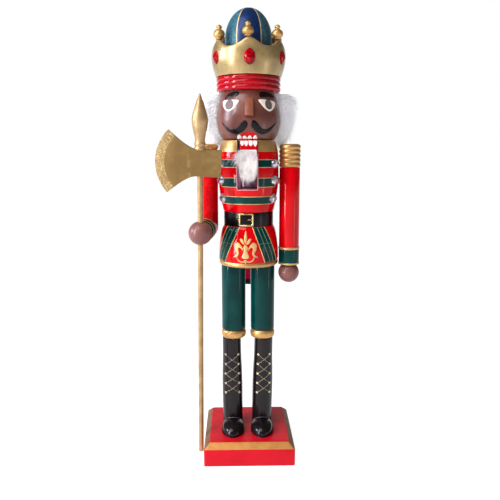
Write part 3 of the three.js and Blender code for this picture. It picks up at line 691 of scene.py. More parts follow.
def sweep_mesh(path, normals, section, closed=False):
    """Sweeps a closed section of (across, up) points along a path. normals give up at each point."""
    path = [Vector(p) for p in path]
    count, width = len(path), len(section)
    vertices = []
    for i, (point, up) in enumerate(zip(path, normals)):
        before = path[i - 1] if (i or closed) else path[0]
        after = path[(i + 1) % count] if (i < count - 1 or closed) else path[-1]
        ahead = (after - before).normalized()
        up = Vector(up).normalized()
        across = ahead.cross(up).normalized()
        vertices += [point + across * a + up * b for a, b in section]
    rows = [list(range(i * width, (i + 1) * width)) for i in range(count)]
    if closed:
        return vertices, bands(rows + rows[:1])
    return vertices, [*bands(rows), rows[0][::-1], rows[-1]]


def outward(vertices, faces, looks, face_looks=None, name="piece", sharp=38):
    """Makes the piece and turns its faces outwards."""
    piece = new_piece(name, vertices, faces, looks, face_looks, sharp)
    mesh = bmesh.new()
    mesh.from_mesh(piece.data)
    bmesh.ops.remove_doubles(mesh, verts=mesh.verts, dist=1e-7)
    bmesh.ops.recalc_face_normals(mesh, faces=mesh.faces)
    mesh.to_mesh(piece.data)
    mesh.free()
    piece.data.set_sharp_from_angle(angle=math.radians(sharp))
    return piece


def round_section(width, height, sides=10):
    """A flattened dome: the section of a line of thick paint, sunk a little into the surface."""
    points = [(math.cos(math.pi * i / sides) * width / 2, math.sin(math.pi * i / sides) * height)
              for i in range(sides + 1)]
    return points + [(-width / 2, -0.15), (width / 2, -0.15)]


def paint_line(name, drum, path, width, height, look, steps=8, closed=False, curved=True, base=0.0):
    """A raised line of paint along (angle, height) points, `base` mm above a drum."""
    dense = smooth_outline(path, steps, closed) if curved else straight_steps(path, steps, closed)
    points = [drum.point(a, z, base) for a, z in dense]
    normals = [drum.normal(a, z) for a, z in dense]
    vertices, faces = sweep_mesh(points, normals, round_section(width, height), closed)
    return outward(vertices, faces, [look], name=name, sharp=60)


def straight_steps(path, steps, closed=False):
    spans = list(zip(path, path[1:] + (path[:1] if closed else [])))
    out = [tuple(Vector(a).lerp(Vector(b), k / steps)) for a, b in spans for k in range(steps)]
    return out if closed else out + [tuple(path[-1])]


def join(name, pieces):
    """One object from several, joined as their meshes stand. The new object stands at the origin."""
    base = bmesh.new()
    looks = []
    for piece in pieces:
        offset = {}
        for i, material in enumerate(piece.data.materials):
            if material not in looks:
                looks.append(material)
            offset[i] = looks.index(material)
        start = len(base.faces)
        base.from_mesh(piece.data)
        base.faces.ensure_lookup_table()
        for face in base.faces[start:]:
            face.material_index = offset[face.material_index]
    mesh = bpy.data.meshes.new(name)
    base.to_mesh(mesh)
    base.free()
    for material in looks:
        mesh.materials.append(material)
    for piece in pieces:
        bpy.data.objects.remove(piece)
    joined = bpy.data.objects.new(name, mesh)
    bpy.context.scene.collection.objects.link(joined)
    return joined


def cut(piece, cutter):
    """Cuts a solid from a piece, with the cutter's own material on the new faces."""
    modifier = piece.modifiers.new("cut", "BOOLEAN")
    modifier.operation = "DIFFERENCE"
    modifier.solver = "EXACT"
    modifier.material_mode = "TRANSFER"
    modifier.object = cutter
    settle(piece)
    bpy.data.objects.remove(cutter)


def settle(piece):
    """Applies a piece's modifiers to its mesh."""
    shaped = piece.evaluated_get(bpy.context.evaluated_depsgraph_get())
    mesh = bpy.data.meshes.new_from_object(shaped)
    piece.modifiers.clear()
    old = piece.data
    piece.data = mesh
    bpy.data.meshes.remove(old)


def bevelled(piece, width, segments=3, angle=35):
    modifier = piece.modifiers.new("bevel", "BEVEL")
    modifier.width = width * MM
    modifier.segments = segments
    modifier.limit_method = "ANGLE"
    modifier.angle_limit = math.radians(angle)
    settle(piece)
    return piece


def unit_outline(node, unit):
    """Scales (radius share, height share) points to a CAD node's box. Ends on the axis."""
    low, high = box_mm(node)
    radius = (high.x - low.x) / 2
    height = high.z - low.z
    side = [(r * radius, low.z + h * height) for r, h in unit]
    return [(0, side[0][1]), *side, (0, side[-1][1])]


def column(node, name, look, ease, place=None):
    """A plain turned column as big as a CAD node's box. Gives its side and its placement."""
    low, high = box_mm(node)
    wide = (high.x - low.x) / 2
    place = place or upright(middle_mm(node))
    outline = fillet([(0, low.z), (wide, low.z), (wide, high.z), (0, high.z)], ease)
    stand_for(turned(name, outline, [look], 96, place), node)
    return [(wide, low.z), (wide, high.z)], place


def beads(radius, bottom, pitch, count, steps, depth, fullness):
    """The side of a stack of turned beads, `depth` mm deep, and squarer as fullness falls."""
    side = []
    for bead in range(count):
        for step in range(steps + 1):
            t = step / steps
            swell = math.sin(math.pi * t) ** fullness
            side.append((radius - depth + depth * swell, bottom + (bead + t) * pitch))
    return side


def leaning(start, end):
    """A placement that slides each height sideways, from one centre at start.z to another at end.z."""
    step = (end - start) / (end.z - start.z)
    sheared = Matrix.Identity(4)
    sheared[0][2], sheared[1][2] = step.x, step.y
    sheared[0][3] = start.x - step.x * start.z
    sheared[1][3] = start.y - step.y * start.z
    return sheared


def blob(name, place, radii, look, square=1.0, rings=10, segments=20):
    """A rounded lump with the given half sizes. square below 1 fills its corners out."""
    vertices, rows = [], []
    for j in range(rings + 1):
        up = math.pi * j / rings - math.pi / 2
        row = []
        for i in range(segments):
            a = 2 * math.pi * i / segments
            unit = (math.cos(up) * math.cos(a), math.cos(up) * math.sin(a), math.sin(up))
            point = [r * math.copysign(abs(u) ** square, u) for u, r in zip(unit, radii)]
            row.append(len(vertices))
            vertices.append(place @ Vector(point))
        rows.append(row)
    return outward(vertices, bands(rows), [look], name=name, sharp=80)


def slab(name, outline, width, place, looks, bevel, look_of=None, levels=()):
    """A board cut from a YZ outline, `width` thick along X, with eased edges. levels are
    (axis, value) cuts that let look_of(centre) give each face its look."""
    count = len(outline)
    vertices = [(side * width / 2, y, z) for side in (-1, 1) for y, z in outline]
    faces = [list(range(count)), list(range(2 * count - 1, count - 1, -1))]
    faces += [[i, i + count, (i + 1) % count + count, (i + 1) % count] for i in range(count)]
    piece = bevelled(outward(vertices, faces, looks, name=name, sharp=50), bevel)
    mesh = bmesh.new()
    mesh.from_mesh(piece.data)
    for axis, value in levels:
        normal = [float(axis == k) for k in range(3)]
        place_on = [n * value * MM for n in normal]
        everything = mesh.verts[:] + mesh.edges[:] + mesh.faces[:]
        bmesh.ops.bisect_plane(mesh, geom=everything, plane_co=place_on, plane_no=normal)
    for face in mesh.faces:
        face.smooth = True
        if look_of:
            face.material_index = look_of(face.calc_center_median() / MM)
    mesh.transform(Matrix.Scale(MM, 4) @ place @ Matrix.Scale(1 / MM, 4))
    mesh.to_mesh(piece.data)
    mesh.free()
    piece.data.set_sharp_from_angle(angle=math.radians(50))
    return piece


def raised_line(name, path, ups, width, height, look, closed=False):
    """A half-round bead along a path, with `ups` pointing away from what it lies on."""
    vertices, faces = sweep_mesh(path, ups, round_section(width, height, 8), closed)
    return outward(vertices, faces, [look], name=name, sharp=70)


# ------------------------------------------------------------------ where the groups stand


def turn_of(joint):
    axis = JOINTS[joint]["axis"]
    return math.degrees(math.atan2(axis[1], axis[0]))


TRUNK_TURN = turn_of("jaw_hinge")
HIPS_TURN = TRUNK_TURN - 3
BUCKLE_TURN = TRUNK_TURN - 3.3
UPRIGHT = Matrix.Identity(4)
TRUNK = upright((0, 0), TRUNK_TURN)
HIPS = upright((0, 0), HIPS_TURN)


def group_box(node, group):
    """The node's box in a turned group's own frame."""
    points = points_mm(node, group)
    return Vector(points.min(axis=0)), Vector(points.max(axis=0))


# ------------------------------------------------------------------ base


def make_base():
    low, high = box_mm("base")
    half, top = (high.x - low.x) / 2, high.z
    bevel = 7.7
    corner = 3.0
    drawn_in = 1.6  # how much its left side turns in towards the back
    side = fillet([(half - 1, 0), (half, 0), (half, top - bevel), (half - bevel, top), (half - 20, top)],
                  0.9, 3)
    arc = [math.radians(a) for a in range(0, 91, 15)]
    centres = ((1, 1, 0), (-1, 1, 90), (-1, -1, 180), (1, -1, 270))
    vertices, rows = [], []
    for reach, z in side:
        row = []
        for sx, sy, start in centres:
            inward = drawn_in if sx > 0 and sy > 0 else 0
            for a in arc:
                angle = a + math.radians(start)
                row.append(len(vertices))
                vertices.append((sx * (reach - inward - corner) + corner * math.cos(angle),
                                 sy * (reach - corner) + corner * math.sin(angle), z))
        rows.append(row)

    # the left and right bevels take the darker gold of painted shade; the front and back bevels keep
    # base_gold
    def look_of(face):
        here, there, above = (vertices[i] for i in face[:3])
        on_bevel = top - bevel + 0.3 < (here[2] + above[2]) / 2 < top - 0.3
        on_side = abs(here[0] + there[0]) > abs(here[1] + there[1])
        return (2 if on_side else 1) if on_bevel else 0

    faces = [rows[0][::-1], *bands(rows), rows[-1]]
    looks = [look_of(face) for face in faces]
    paints = ["base_red", "base_gold", "base_gold_painted_shade"]
    stand_for(new_piece("painted_base", vertices, faces, paints, looks), "base")


# ------------------------------------------------------------------ legs


def make_leg(side, lace_angles):
    boot = f"{side}_boot"
    foot, top = axis_mm(boot)
    low, high = box_mm(boot)
    place = leaning(foot, top)
    radius = (high.y - low.y) / 2
    height = top.z - foot.z
    shape = [(0.93, 0), (0.96, 0.02), (0.98, 0.14), (1, 0.45), (0.97, 0.63), (0.915, 0.8), (0.9, 0.97),
             (0.87, 1)]
    calf = open_curve([(r * radius, foot.z + h * height) for r, h in shape], 5)
    outline = [(0, foot.z), *calf, (0, top.z)]
    stand_for(turned(f"{side}_boot_shaft", outline, ["black"], 96, place), boot)
    drum = Drum(outline, place)

    top_eyelet, eyelet_step = 141.3, 14.1
    eyelet_rows = [top_eyelet - row * eyelet_step for row in range(5)]
    parts = []
    for upper, lower in zip(eyelet_rows, eyelet_rows[1:]):
        for start, end in (lace_angles, lace_angles[::-1]):
            path = [(start, upper), (end, lower)]
            parts.append(paint_line("lace", drum, path, 0.65, 0.4, "lace", 14, curved=False))
    for z in eyelet_rows:
        for angle in lace_angles:
            parts.append(blob("eyelet", drum.stand(angle, z), (1.9, 1.7, 0.9), "eyelet", 0.9))
    trim_on(join(f"{side}_boot_lacing", parts), boot)

    make_toe(side, foot, radius)
    make_knee(side)
    column(f"{side}_thigh", f"{side}_green_thigh", "green", 1.0)


def make_toe(side, foot, calf_radius):
    """A domed toe cap with a soft crest, glued to the front of the boot."""
    node = f"{side}_shoe"
    low, high = box_mm(node)
    half_width = (high.x - low.x) / 2
    half_length = 25
    height = 16.2
    centre = Vector((foot.x, low.y + half_length, low.z))

    def surface(x, y):
        """Height of the cap over a point that is measured from its centre."""
        return height * max(0.0, 1 - (x / half_width) ** 2 - (y / half_length) ** 2) ** 0.38

    rows, columns = 30, 64
    vertices, grid = [], []
    for j in range(rows + 1):
        share = math.sin(math.pi / 2 * (1 - j / rows))
        row = []
        for i in range(columns):
            a = 2 * math.pi * i / columns
            x, y = half_width * share * math.sin(a), -half_length * share * math.cos(a)
            row.append(len(vertices))
            vertices.append(centre + Vector((x, y, surface(x, y))))
        grid.append(row)
    faces = [grid[0][::-1], *bands(grid)]
    stand_for(outward(vertices, faces, ["black"], name=f"{side}_toe_cap", sharp=60), node)

    seam, ups = [], []
    for step in range(-17, 18):
        a = math.radians(step * 5)
        x, y = calf_radius * math.sin(a), -calf_radius * math.cos(a)
        seam.append(Vector((foot.x + x, foot.y + y, low.z + surface(x, y - (centre.y - foot.y)))))
        ups.append(Vector((math.sin(a), -math.cos(a), 1)))
    trim_on(raised_line(f"{side}_toe_glue", seam, ups, 1.2, 0.45, "glue"), node)


def make_knee(side):
    node = f"{side}_knee_ring"
    shape = [(0.8, 0), (0.92, 0.1), (0.985, 0.3), (1, 0.5), (0.985, 0.7), (0.92, 0.9), (0.82, 1)]
    outline = unit_outline(node, open_curve(shape, 4))
    stand_for(turned(f"{side}_gold_knee", outline, ["gold"], 96, upright(middle_mm(node))), node)


# ------------------------------------------------------------------ skirt, belt and buckle


def make_skirt():
    low, high = box_mm("skirt")
    wide = (high.x - low.x) / 2
    belt_low, _ = box_mm("belt")
    hem_top, top = low.z + 6.4, belt_low.z - 0.3
    hem = open_curve([(wide - 5, low.z), (wide - 2.2, low.z + 0.4), (wide - 0.6, low.z + 2),
                      (wide - 0.25, low.z + 4), (wide - 0.9, hem_top)], 5)
    body = open_curve([(wide - 0.9, hem_top + 0.2), (wide, hem_top + 4.5), (wide - 0.4, hem_top + 18),
                       (wide - 2, hem_top + 32), (wide - 4.4, hem_top + 43), (wide - 6.9, top)], 8)
    spigot = [(wide - 10.7, top), (wide - 10.7, high.z)]
    outline = [(0, low.z), *hem, *body, *spigot, (0, high.z)]
    skirt = turned("painted_skirt", outline, ["red", "gold"], 160, HIPS,
                   paint=lambda z, angle: 1 if z < hem_top + 0.1 else 0)
    stand_for(skirt, "skirt")
    drum = Drum([*hem, *body], HIPS)
    make_skirt_panels(drum, top, hem_top)
    make_apron_motif(drum)


def make_skirt_panels(drum, top, hem_top):
    """A green panel on each side of the apron, between gold seams and crossed by thin stripes."""

    def edge(top_angle, bottom_angle):
        """A seam that opens from the belt down to the hem."""
        return [(top_angle, top), (top_angle + (bottom_angle - top_angle) * 0.45, (top + hem_top) / 2 + 2),
                (bottom_angle, hem_top + 0.4)]

    seams = {
        "left": (edge(14.2, 38), edge(42, 71.6)),
        "right": (edge(-14.8, -45.2), edge(-48, -76)),
    }
    for side, (inner, outer) in seams.items():
        inner_curve = open_curve(inner, 8)
        outer_curve = open_curve(outer, 8)
        panel = film(f"{side}_skirt_panel", drum, [[*inner_curve, *outer_curve[::-1]]], "green", 0.3, 1.5)
        trim_on(panel, "skirt", "green_lacquer")
        lines = [paint_line("seam", drum, inner, 1.3, 0.5, "gold_line", 14, base=0.15),
                 paint_line("seam", drum, outer, 1.1, 0.45, "gold_line", 14, base=0.15)]
        for share in (0.36, 0.67):
            between = [tuple(Vector(a).lerp(Vector(b), share)) for a, b in zip(inner, outer)]
            lines.append(paint_line("stripe", drum, between, 0.6, 0.3, "stripe_line", 14, base=0.3))
        across = [tuple(Vector(inner[1]).lerp(Vector(outer[1]), share)) for share in (0.02, 0.5, 0.98)]
        lines.append(paint_line("stripe", drum, across, 0.5, 0.3, "stripe_line", 12, base=0.3))
        trim_on(join(f"{side}_skirt_lines", lines), "skirt", "gold_paint")


def make_apron_motif(drum):
    """A gold sprig: a tall leaf over a bud, a pair of small leaves, a pair of broad ones and a scroll."""
    middle = -0.5

    def mirrored(points):
        return [[(middle + sign * a, z) for a, z in points] for sign in (-1, 1)]

    tall_leaf = [(0, 321.5), (2.6, 315), (2.4, 309.5), (0, 305), (-2.4, 309.5), (-2.6, 315)]
    bud = [(0, 302), (2.8, 298), (4.2, 292), (6.6, 286.5), (0, 284.5), (-6.6, 286.5), (-4.2, 292),
           (-2.8, 298)]
    small_leaf = [(2.4, 305.5), (6, 310.5), (10.8, 311), (8.4, 306.5), (4.2, 303.8)]
    broad_leaf = [(5, 296.5), (9, 302.5), (15.5, 306.2), (21.5, 303), (20.5, 297), (17, 291), (23.5, 286.5),
                  (16, 287), (12.8, 292), (14.5, 298), (10.5, 299.5)]
    leaves = [[(middle + a, z) for a, z in shape] for shape in (tall_leaf, bud)]
    leaves += [*mirrored(small_leaf), *mirrored(broad_leaf)]
    parts = [film("leaf", drum, [smooth_outline(leaf, 6)], "gold_line", 0.45, 0.9) for leaf in leaves]
    scroll = [(2, 280.8), (8, 280.4), (13.5, 282.4), (16.6, 286.2)]
    stem = [(0.5, 303.8), (3.4, 299.6), (6.4, 296.2)]
    for shape in (scroll, stem):
        for path in mirrored(shape):
            parts.append(paint_line("scroll", drum, path, 1.5, 0.6, "gold_line", 8))
    foot = [(middle - 3, 281), (middle, 282.6), (middle + 3, 281)]
    parts.append(paint_line("scroll", drum, foot, 1.4, 0.6, "gold_line", 8))
    parts.append(blob("drop", drum.stand(middle, 279.6, 0.1), (1.0, 1.5, 0.7), "gold_line"))
    trim_on(join("apron_motif", parts), "skirt", "gold_paint")


def make_belt():
    low, high = box_mm("belt")
    outer = (high.x - low.x) / 2
    inner = outer - 3.3
    band = fillet([(inner, low.z + 1), (inner, low.z), (outer, low.z), (outer, high.z), (inner, high.z),
                   (inner, high.z - 1)], 0.7, 4)

    def creased(radius, angle, z):
        """Very slight waves, as a strap that was pulled tight has."""
        wave = 0.12 * noise.noise((angle * 3, z * 0.16, 4.2))
        return (radius + (wave - 0.12 if radius > outer - 1 else 0), z)

    stand_for(turned("vinyl_belt", band, ["vinyl"], 160, HIPS, creased, loop=True), "belt")
    make_buckle(low, high, outer)


def make_buckle(low, high, belt_radius):
    place = upright((0, 0), BUCKLE_TURN)
    drum = Drum([(belt_radius + 0.3, low.z - 5), (belt_radius + 0.3, high.z + 5)], place)
    box_low, box_high = box_mm("buckle")
    middle = (box_low.z + box_high.z) / 2
    half_height = (box_high.z - box_low.z) / 2
    half_angle = math.degrees(10.5 / (belt_radius + 2))

    def rounded(half_a, half_z, corner):
        share = math.degrees(corner / belt_radius)
        return fillet([(0, middle - half_z), (half_a, middle - half_z), (half_a, middle + half_z),
                       (-half_a, middle + half_z), (-half_a, middle - half_z), (0, middle - half_z)],
                      max(corner, share), 4)[:-1]

    rim = 2.5
    outer = rounded(half_angle, half_height, 1.6)
    inner = rounded(half_angle - math.degrees(rim / belt_radius), half_height - rim, 0.8)
    parts = [film("frame", drum, [outer, inner], "buckle", 1.6, 0.6, 0.9)]
    reach = half_angle - 1
    parts.append(paint_line("prong", drum, [(reach, middle), (reach - 6, middle + 0.2), (reach - 12, middle)],
                            1.7, 1.7, "buckle", 8))
    stand_for(join("belt_buckle", parts), "buckle")


# ------------------------------------------------------------------ torso


def make_torso():
    low, high = group_box("torso", TRUNK)
    wide = (high.x - low.x) / 2
    shoulder = 425.6
    side = open_curve([(wide - 6.6, low.z), (wide - 5.5, low.z + 3.4), (wide - 3.3, low.z + 14.6),
                       (wide - 1.2, low.z + 28), (wide, low.z + 43), (wide, low.z + 58),
                       (wide - 0.5, shoulder - 5), (wide - 1, shoulder - 0.6)], 6)
    collar = fillet([(wide - 1, shoulder), (wide - 4.8, high.z), (0, high.z)], 0.8)
    braids = ((356.6, 366.4), (379, 390.8), (404.6, 414.5))
    levels = [z for braid in braids for z in braid]
    outline = [(0, low.z), *add_levels(side, levels), *collar]
    reach = 62

    def paint(z, angle):
        if z > shoulder - 0.8:
            return 2
        return 1 if abs(angle) < reach and any(a < z < b for a, b in braids) else 0

    torso = turned("painted_torso", outline, ["red", "green", "gold", "slot"], 160, TRUNK, paint=paint)
    width, floor = 26.6, 375.8
    shape = [(-60, floor), (60, floor), (60, 500), (-60, 500)]
    # the cutter gives the slot's walls the slot look, its pinkish-brown lightened as painted light in the
    # slot's shade
    cutter = slab("slot_cutter", shape, width, TRUNK, ["slot"], 0.01)
    cut(torso, cutter)
    stand_for(torso, "torso")

    drum = Drum([*side, *collar[:3]], TRUNK)
    mouth = math.degrees(math.asin(width / 2 / wide))
    make_braid_lines(drum, braids, reach, mouth, floor)
    edge = mouth + 0.75
    mouth_path = [(-edge, shoulder - 3), (-edge, floor - 0.5), (edge, floor - 0.5), (edge, shoulder - 3)]
    mouth_line = paint_line("slot_mouth_line", drum, mouth_path, 0.9, 0.3, "pale_edge", 16, curved=False)
    trim_on(mouth_line, "torso")


def make_braid_lines(drum, braids, reach, mouth, floor):
    """Gold lines round the three braids, open where the slot's mouth cuts them."""
    lines = []
    for low_edge, high_edge in braids:
        for z in (low_edge, high_edge):
            spans = [(-reach, -mouth - 0.4), (mouth + 0.4, reach)] if z > floor - 1 else [(-reach, reach)]
            for start, end in spans:
                path = [(start, z), ((start + end) / 2, z), (end, z)]
                lines.append(paint_line("braid_edge", drum, path, 1.0, 0.5, "gold_line", 14, curved=False))
        for angle in (-reach, reach):
            lines.append(paint_line("braid_end", drum, [(angle, low_edge), (angle, high_edge)], 1.0, 0.5,
                                    "gold_line", 8, curved=False))
    trim_on(join("torso_braid_lines", lines), "torso", "gold_paint")


def gem_rim(half_width, half_height, point, count):
    """A girdle: an oval, drawn out to a point at its top and bottom as `point` grows."""
    rim = []
    for i in range(count):
        t = 2 * math.pi * i / count
        across = math.sin(t) * abs(math.sin(t)) ** point
        rim.append(Vector((half_width * across, half_height * math.cos(t), 0)))
    return rim


def cut_gem(name, place, rim, depth, look, bezel_look):
    """A faceted stone with a low table, in a thin rim of the given look."""
    count = len(rim)
    rows = [(1.0, 0.0, 0), (1.0, 0.22, 0), (0.8, 0.66, 0.5), (0.52, 1.0, 0)]
    vertices, faces = [], []
    for size, height, offset in rows:
        for i in range(count):
            here = rim[i].lerp(rim[(i + 1) % count], offset)
            vertices.append(place @ Vector((here.x * size, here.y * size, height * depth)))
    for i in range(count):
        k = (i + 1) % count
        a, b, c, d = (row * count for row in range(4))
        faces += [[a + i, a + k, b + k, b + i], [b + i, b + k, c + i], [b + k, c + k, c + i],
                  [c + i, c + k, d + k], [c + i, d + k, d + i]]
    faces.append(list(range(3 * count, 4 * count)))
    faces.append(list(range(count))[::-1])
    stone_piece = outward(vertices, faces, [look], name=name, sharp=4)
    ring = [place @ Vector(p) for p in smooth_outline(rim, 2)]
    centre = place @ Vector((0, 0, 0))
    out = (place.to_3x3() @ Vector((0, 0, 1))).normalized()
    normals = [((p - centre).normalized() + out) for p in ring]
    bezel = raised_line("bezel", ring, normals, 0.8, 0.4, bezel_look, closed=True)
    return join(name, [stone_piece, bezel])


def stone_place(node):
    """A placement on a CAD stone's seat: X level, Y up and Z out of the figure."""
    faces = frame["nodes"][node].data.polygons
    table = max(faces, key=lambda face: (round(face.area, 9), -face.normal.dot(face.center)))
    points = points_mm(node)
    centre = centre_of(points)
    out = Vector((centre.x, centre.y, 0)).normalized()
    lean = table.normal.z / max(1e-6, table.normal.dot(out))
    lean = lean if table.normal.dot(out) > 0.5 else -lean
    out = (out + Vector((0, 0, max(-0.3, min(0.3, lean))))).normalized()
    side = Vector((0, 0, 1)).cross(out).normalized()
    up = out.cross(side)
    depths = points @ np.array(out)
    seat = centre - out * (centre.dot(out) - depths.min())
    return facing(seat, side, up, out), float(depths.max() - depths.min())


def make_chest_stones():
    for side in ("right", "left"):
        for row in (1, 2, 3):
            node = f"{side}_chest_stone_{row}"
            place, depth = stone_place(node)
            rim = gem_rim(6.4, 6.4, 0, 12)
            stand_for(cut_gem(f"{side}_chest_gem_{row}", place, rim, depth, "crystal", "steel"), node)


# ------------------------------------------------------------------ jaw lever and beard


def make_lever():
    low, high = group_box("jaw_lever", TRUNK)
    width = high.x - low.x
    middle = (low.x + high.x) / 2
    inner, outer = high.y - 9.4, high.y
    tip = low.z + 4.7
    pivot = Vector(JOINTS["jaw_hinge"]["pos_m"]) / MM
    arc = [((inner + outer) / 2 - 4.7 * math.cos(a), tip - 4.7 * math.sin(a))
           for a in (math.pi * i / 10 for i in range(11))]
    outline = fillet([(low.y, high.z), (low.y, 398), (-2, pivot.z - 22.5), (inner - 1, 392), arc[0]], 5, 5)
    outline += arc[1:] + fillet([arc[-1], (outer, 428), (10, high.z), (low.y, high.z)], 9, 5)[1:-1]
    place = TRUNK @ Matrix.Translation((middle, 0, 0))
    tip_top = low.z + 9
    shade_top = 372  # above this the lever's faces seen through the slot's opening take the slot look, lightened as painted light; below it they take the tail's red, darkened as painted shade

    def look_of(centre):
        if centre.y < low.y + 4:
            return 0
        if centre.y < inner - 4:
            return 1
        if centre.z < tip_top:
            return 3
        if centre.y < inner + 1.5 and centre.z > shade_top:
            return 1
        return 2

    cuts = ((2, tip_top), (2, shade_top), (1, low.y + 4), (1, inner - 4))
    # the tail's red is darkened as painted shade where it hangs between the legs
    looks = ["lip", "slot", "tail_red_painted_shade", "black"]
    stand_for(slab("painted_jaw_lever", outline, width, place, looks, 0.8, look_of, cuts), "jaw_lever")

    # painted shade: a thin sheet in the slot look fills the gap beside the lever, where the figure shows only
    # shade
    strip = fillet([(low.y + 12, 376.2), (32.5, 376.2), (32.5, 402), (low.y + 12, 402)], 0.5, 3)
    strip_place = TRUNK @ Matrix.Translation((low.x - 1.85, 0, 0))
    trim_on(slab("slot_shade_sheet", strip, 3.2, strip_place, ["slot"], 0.3), "torso")

    teeth = []
    far = 400
    front = Drum([(far, low.z), (far, high.z)], TRUNK @ Matrix.Translation((middle, low.y + far, 0)))
    per_mm = math.degrees(1 / far)
    for x, half_width, drop in ((-8.4, 2.1, 6.6), (-3.2, 2.3, 7), (2.7, 2.5, 7), (8.4, 2.3, 7.4)):
        top = high.z - 0.9
        hanging = [(x - half_width, top), (x - half_width, top - drop * 0.6), (x, top - drop),
                   (x + half_width, top - drop * 0.6), (x + half_width, top)]
        outline = [(across * per_mm, z) for across, z in open_curve(hanging, 6)]
        teeth.append(film("tooth", front, [outline], "tooth", 1.0, 0.6, 1.3))
    trim_on(join("lower_teeth", teeth), "jaw_lever", "skin_paint")


# ------------------------------------------------------------------ head


def head_outline():
    low, high = box_mm("head")
    wide = (high.x - low.x) / 2
    side = [(0.8, 0), (0.855, 0.03), (0.925, 0.125), (0.98, 0.255), (1, 0.425), (0.978, 0.59), (0.92, 0.78),
            (0.86, 0.91), (0.806, 1)]
    return open_curve([(r * wide, low.z + h * (high.z - low.z)) for r, h in side], 7)


def make_head():
    low, high = box_mm("head")
    side = head_outline()
    stand_for(turned("painted_head", [(0, low.z), *side, (0, high.z)], ["skin"], 160), "head")
    drum = Drum(side, UPRIGHT)
    make_eyes(drum)
    make_moustache(drum)
    make_upper_mouth(drum, low.z)
    make_nose()


def make_eyes(drum):
    whites = {
        "right": [(-61, 488.6), (-48, 490.2), (-21.5, 489.4), (-23.5, 484.4), (-30, 478.8), (-41, 475.8),
                  (-53.5, 480.6)],
        "left": [(18.5, 489.8), (34, 490.4), (61.5, 488.4), (54.5, 480.8), (40.5, 475.8), (29.5, 479.4),
                 (22.5, 484.8)],
    }
    irises = {"right": (-40.3, 484.0, 10.4), "left": (39.8, 484.4, 8.8)}
    for side, outline in whites.items():
        curve = smooth_outline(outline, 5)
        parts = [film("white", drum, [curve], "white", 0.3, 1.0, 0.9)]
        angle, z, wide = irises[side]
        parts.append(oval_film(drum, angle, z, wide, 6.4, "iris_ring", 0.25, 0.2))
        parts.append(oval_film(drum, angle, z + 0.3, wide - 1.1, 5.7, "iris", 0.25, 0.32))
        trim_on(join(f"{side}_eye", parts), "head")
    brows = {
        "right": [(-57, 491.6), (-51, 497.2), (-38, 500.2), (-23.5, 500.2), (-21, 496.8), (-28, 493.8),
                  (-43, 493)],
        "left": [(21.5, 497.6), (28, 500.3), (44, 500.2), (59.5, 498.4), (63.8, 494), (42, 493.8),
                 (23.5, 492.8)],
    }
    for side, outline in brows.items():
        brow = film(f"{side}_brow", drum, [smooth_outline(outline, 5)], "pupil", 0.6, 0.9, 1.3)
        trim_on(brow, "head", "black_lacquer")


def oval_film(drum, angle, z, half_angle, half_height, look, thickness, base):
    oval = [(angle + half_angle * math.cos(t), z + half_height * math.sin(t))
            for t in (2 * math.pi * i / 28 for i in range(28))]
    return film("oval", drum, [oval], look, thickness, 0.8, 0.8, base)


def make_moustache(drum):
    upper = [(3, 460), (5.6, 463.6), (10.4, 463.6), (15.6, 460.2), (22, 455), (32, 453), (44, 456.4),
             (57.5, 462.6)]
    lower = [(46, 452.4), (35, 448.2), (25, 446.8), (15, 449), (8, 452.6), (3.6, 456.4)]
    for side, sign in (("right", -1), ("left", 1)):
        outline = [(sign * a, z) for a, z in upper + lower]
        half = film(f"{side}_moustache", drum, [smooth_outline(outline, 6)], "pupil", 0.9, 0.9, 2.2)
        trim_on(half, "head", "black_lacquer")


def make_upper_mouth(drum, bottom):
    mouth = [(-27, bottom + 0.2), (-22, bottom + 4.6), (-13, bottom + 8), (-3, bottom + 9), (9, bottom + 8.4),
             (16, bottom + 5), (18.8, bottom + 0.2)]
    outline = open_curve(mouth, 6)
    parts = [film("gum", drum, [outline], "lip", 0.5, 0.9, 1.2)]
    for angle, half_width, rise in ((-19.8, 5.0, 6.2), (-8.8, 4.6, 4.9), (1.6, 4.8, 5.0), (12.4, 4.6, 5.3)):
        arch = open_curve([(angle - half_width, bottom + 0.6),
                           (angle - half_width * 0.9, bottom + rise * 0.55),
                           (angle, bottom + rise),
                           (angle + half_width * 0.9, bottom + rise * 0.55),
                           (angle + half_width, bottom + 0.6)], 6)
        parts.append(film("tooth", drum, [arch], "tooth", 1.0, 0.6, 1.3, 0.3))
    trim_on(join("upper_mouth", parts), "head")


def make_nose():
    low, high = box_mm("nose")
    root = low.y + 20
    tip = Vector((low.y, low.z + 4.6))
    outline = [(root, high.z - 0.6), (low.y + 12.6, high.z), tuple(tip), (root, low.z - 0.4)]
    # faces near the nose's bottom take the darker brown of painted shade
    wedge = slab("nose_wedge", outline, high.x - low.x, UPRIGHT, ["nose", "nose_underside_painted_shade"], 0.8,
                 lambda centre: int(centre.z < low.z + 3.6))
    stand_for(wedge, "nose")


# ------------------------------------------------------------------ crown


def make_crown_ring():
    node = "crown_base_ring"
    low, high = box_mm(node)
    count = 3
    side = beads((high.x - low.x) / 2, low.z, (high.z - low.z) / count, count, 10, 1.7, 0.55)
    outline = [(0, low.z), *side, (0, high.z)]
    # the ring's red is darkened as painted shade from the crown above it
    stand_for(turned("red_crown_ring", outline, ["ring_red_painted_shade"], 160, sharp=50), node)


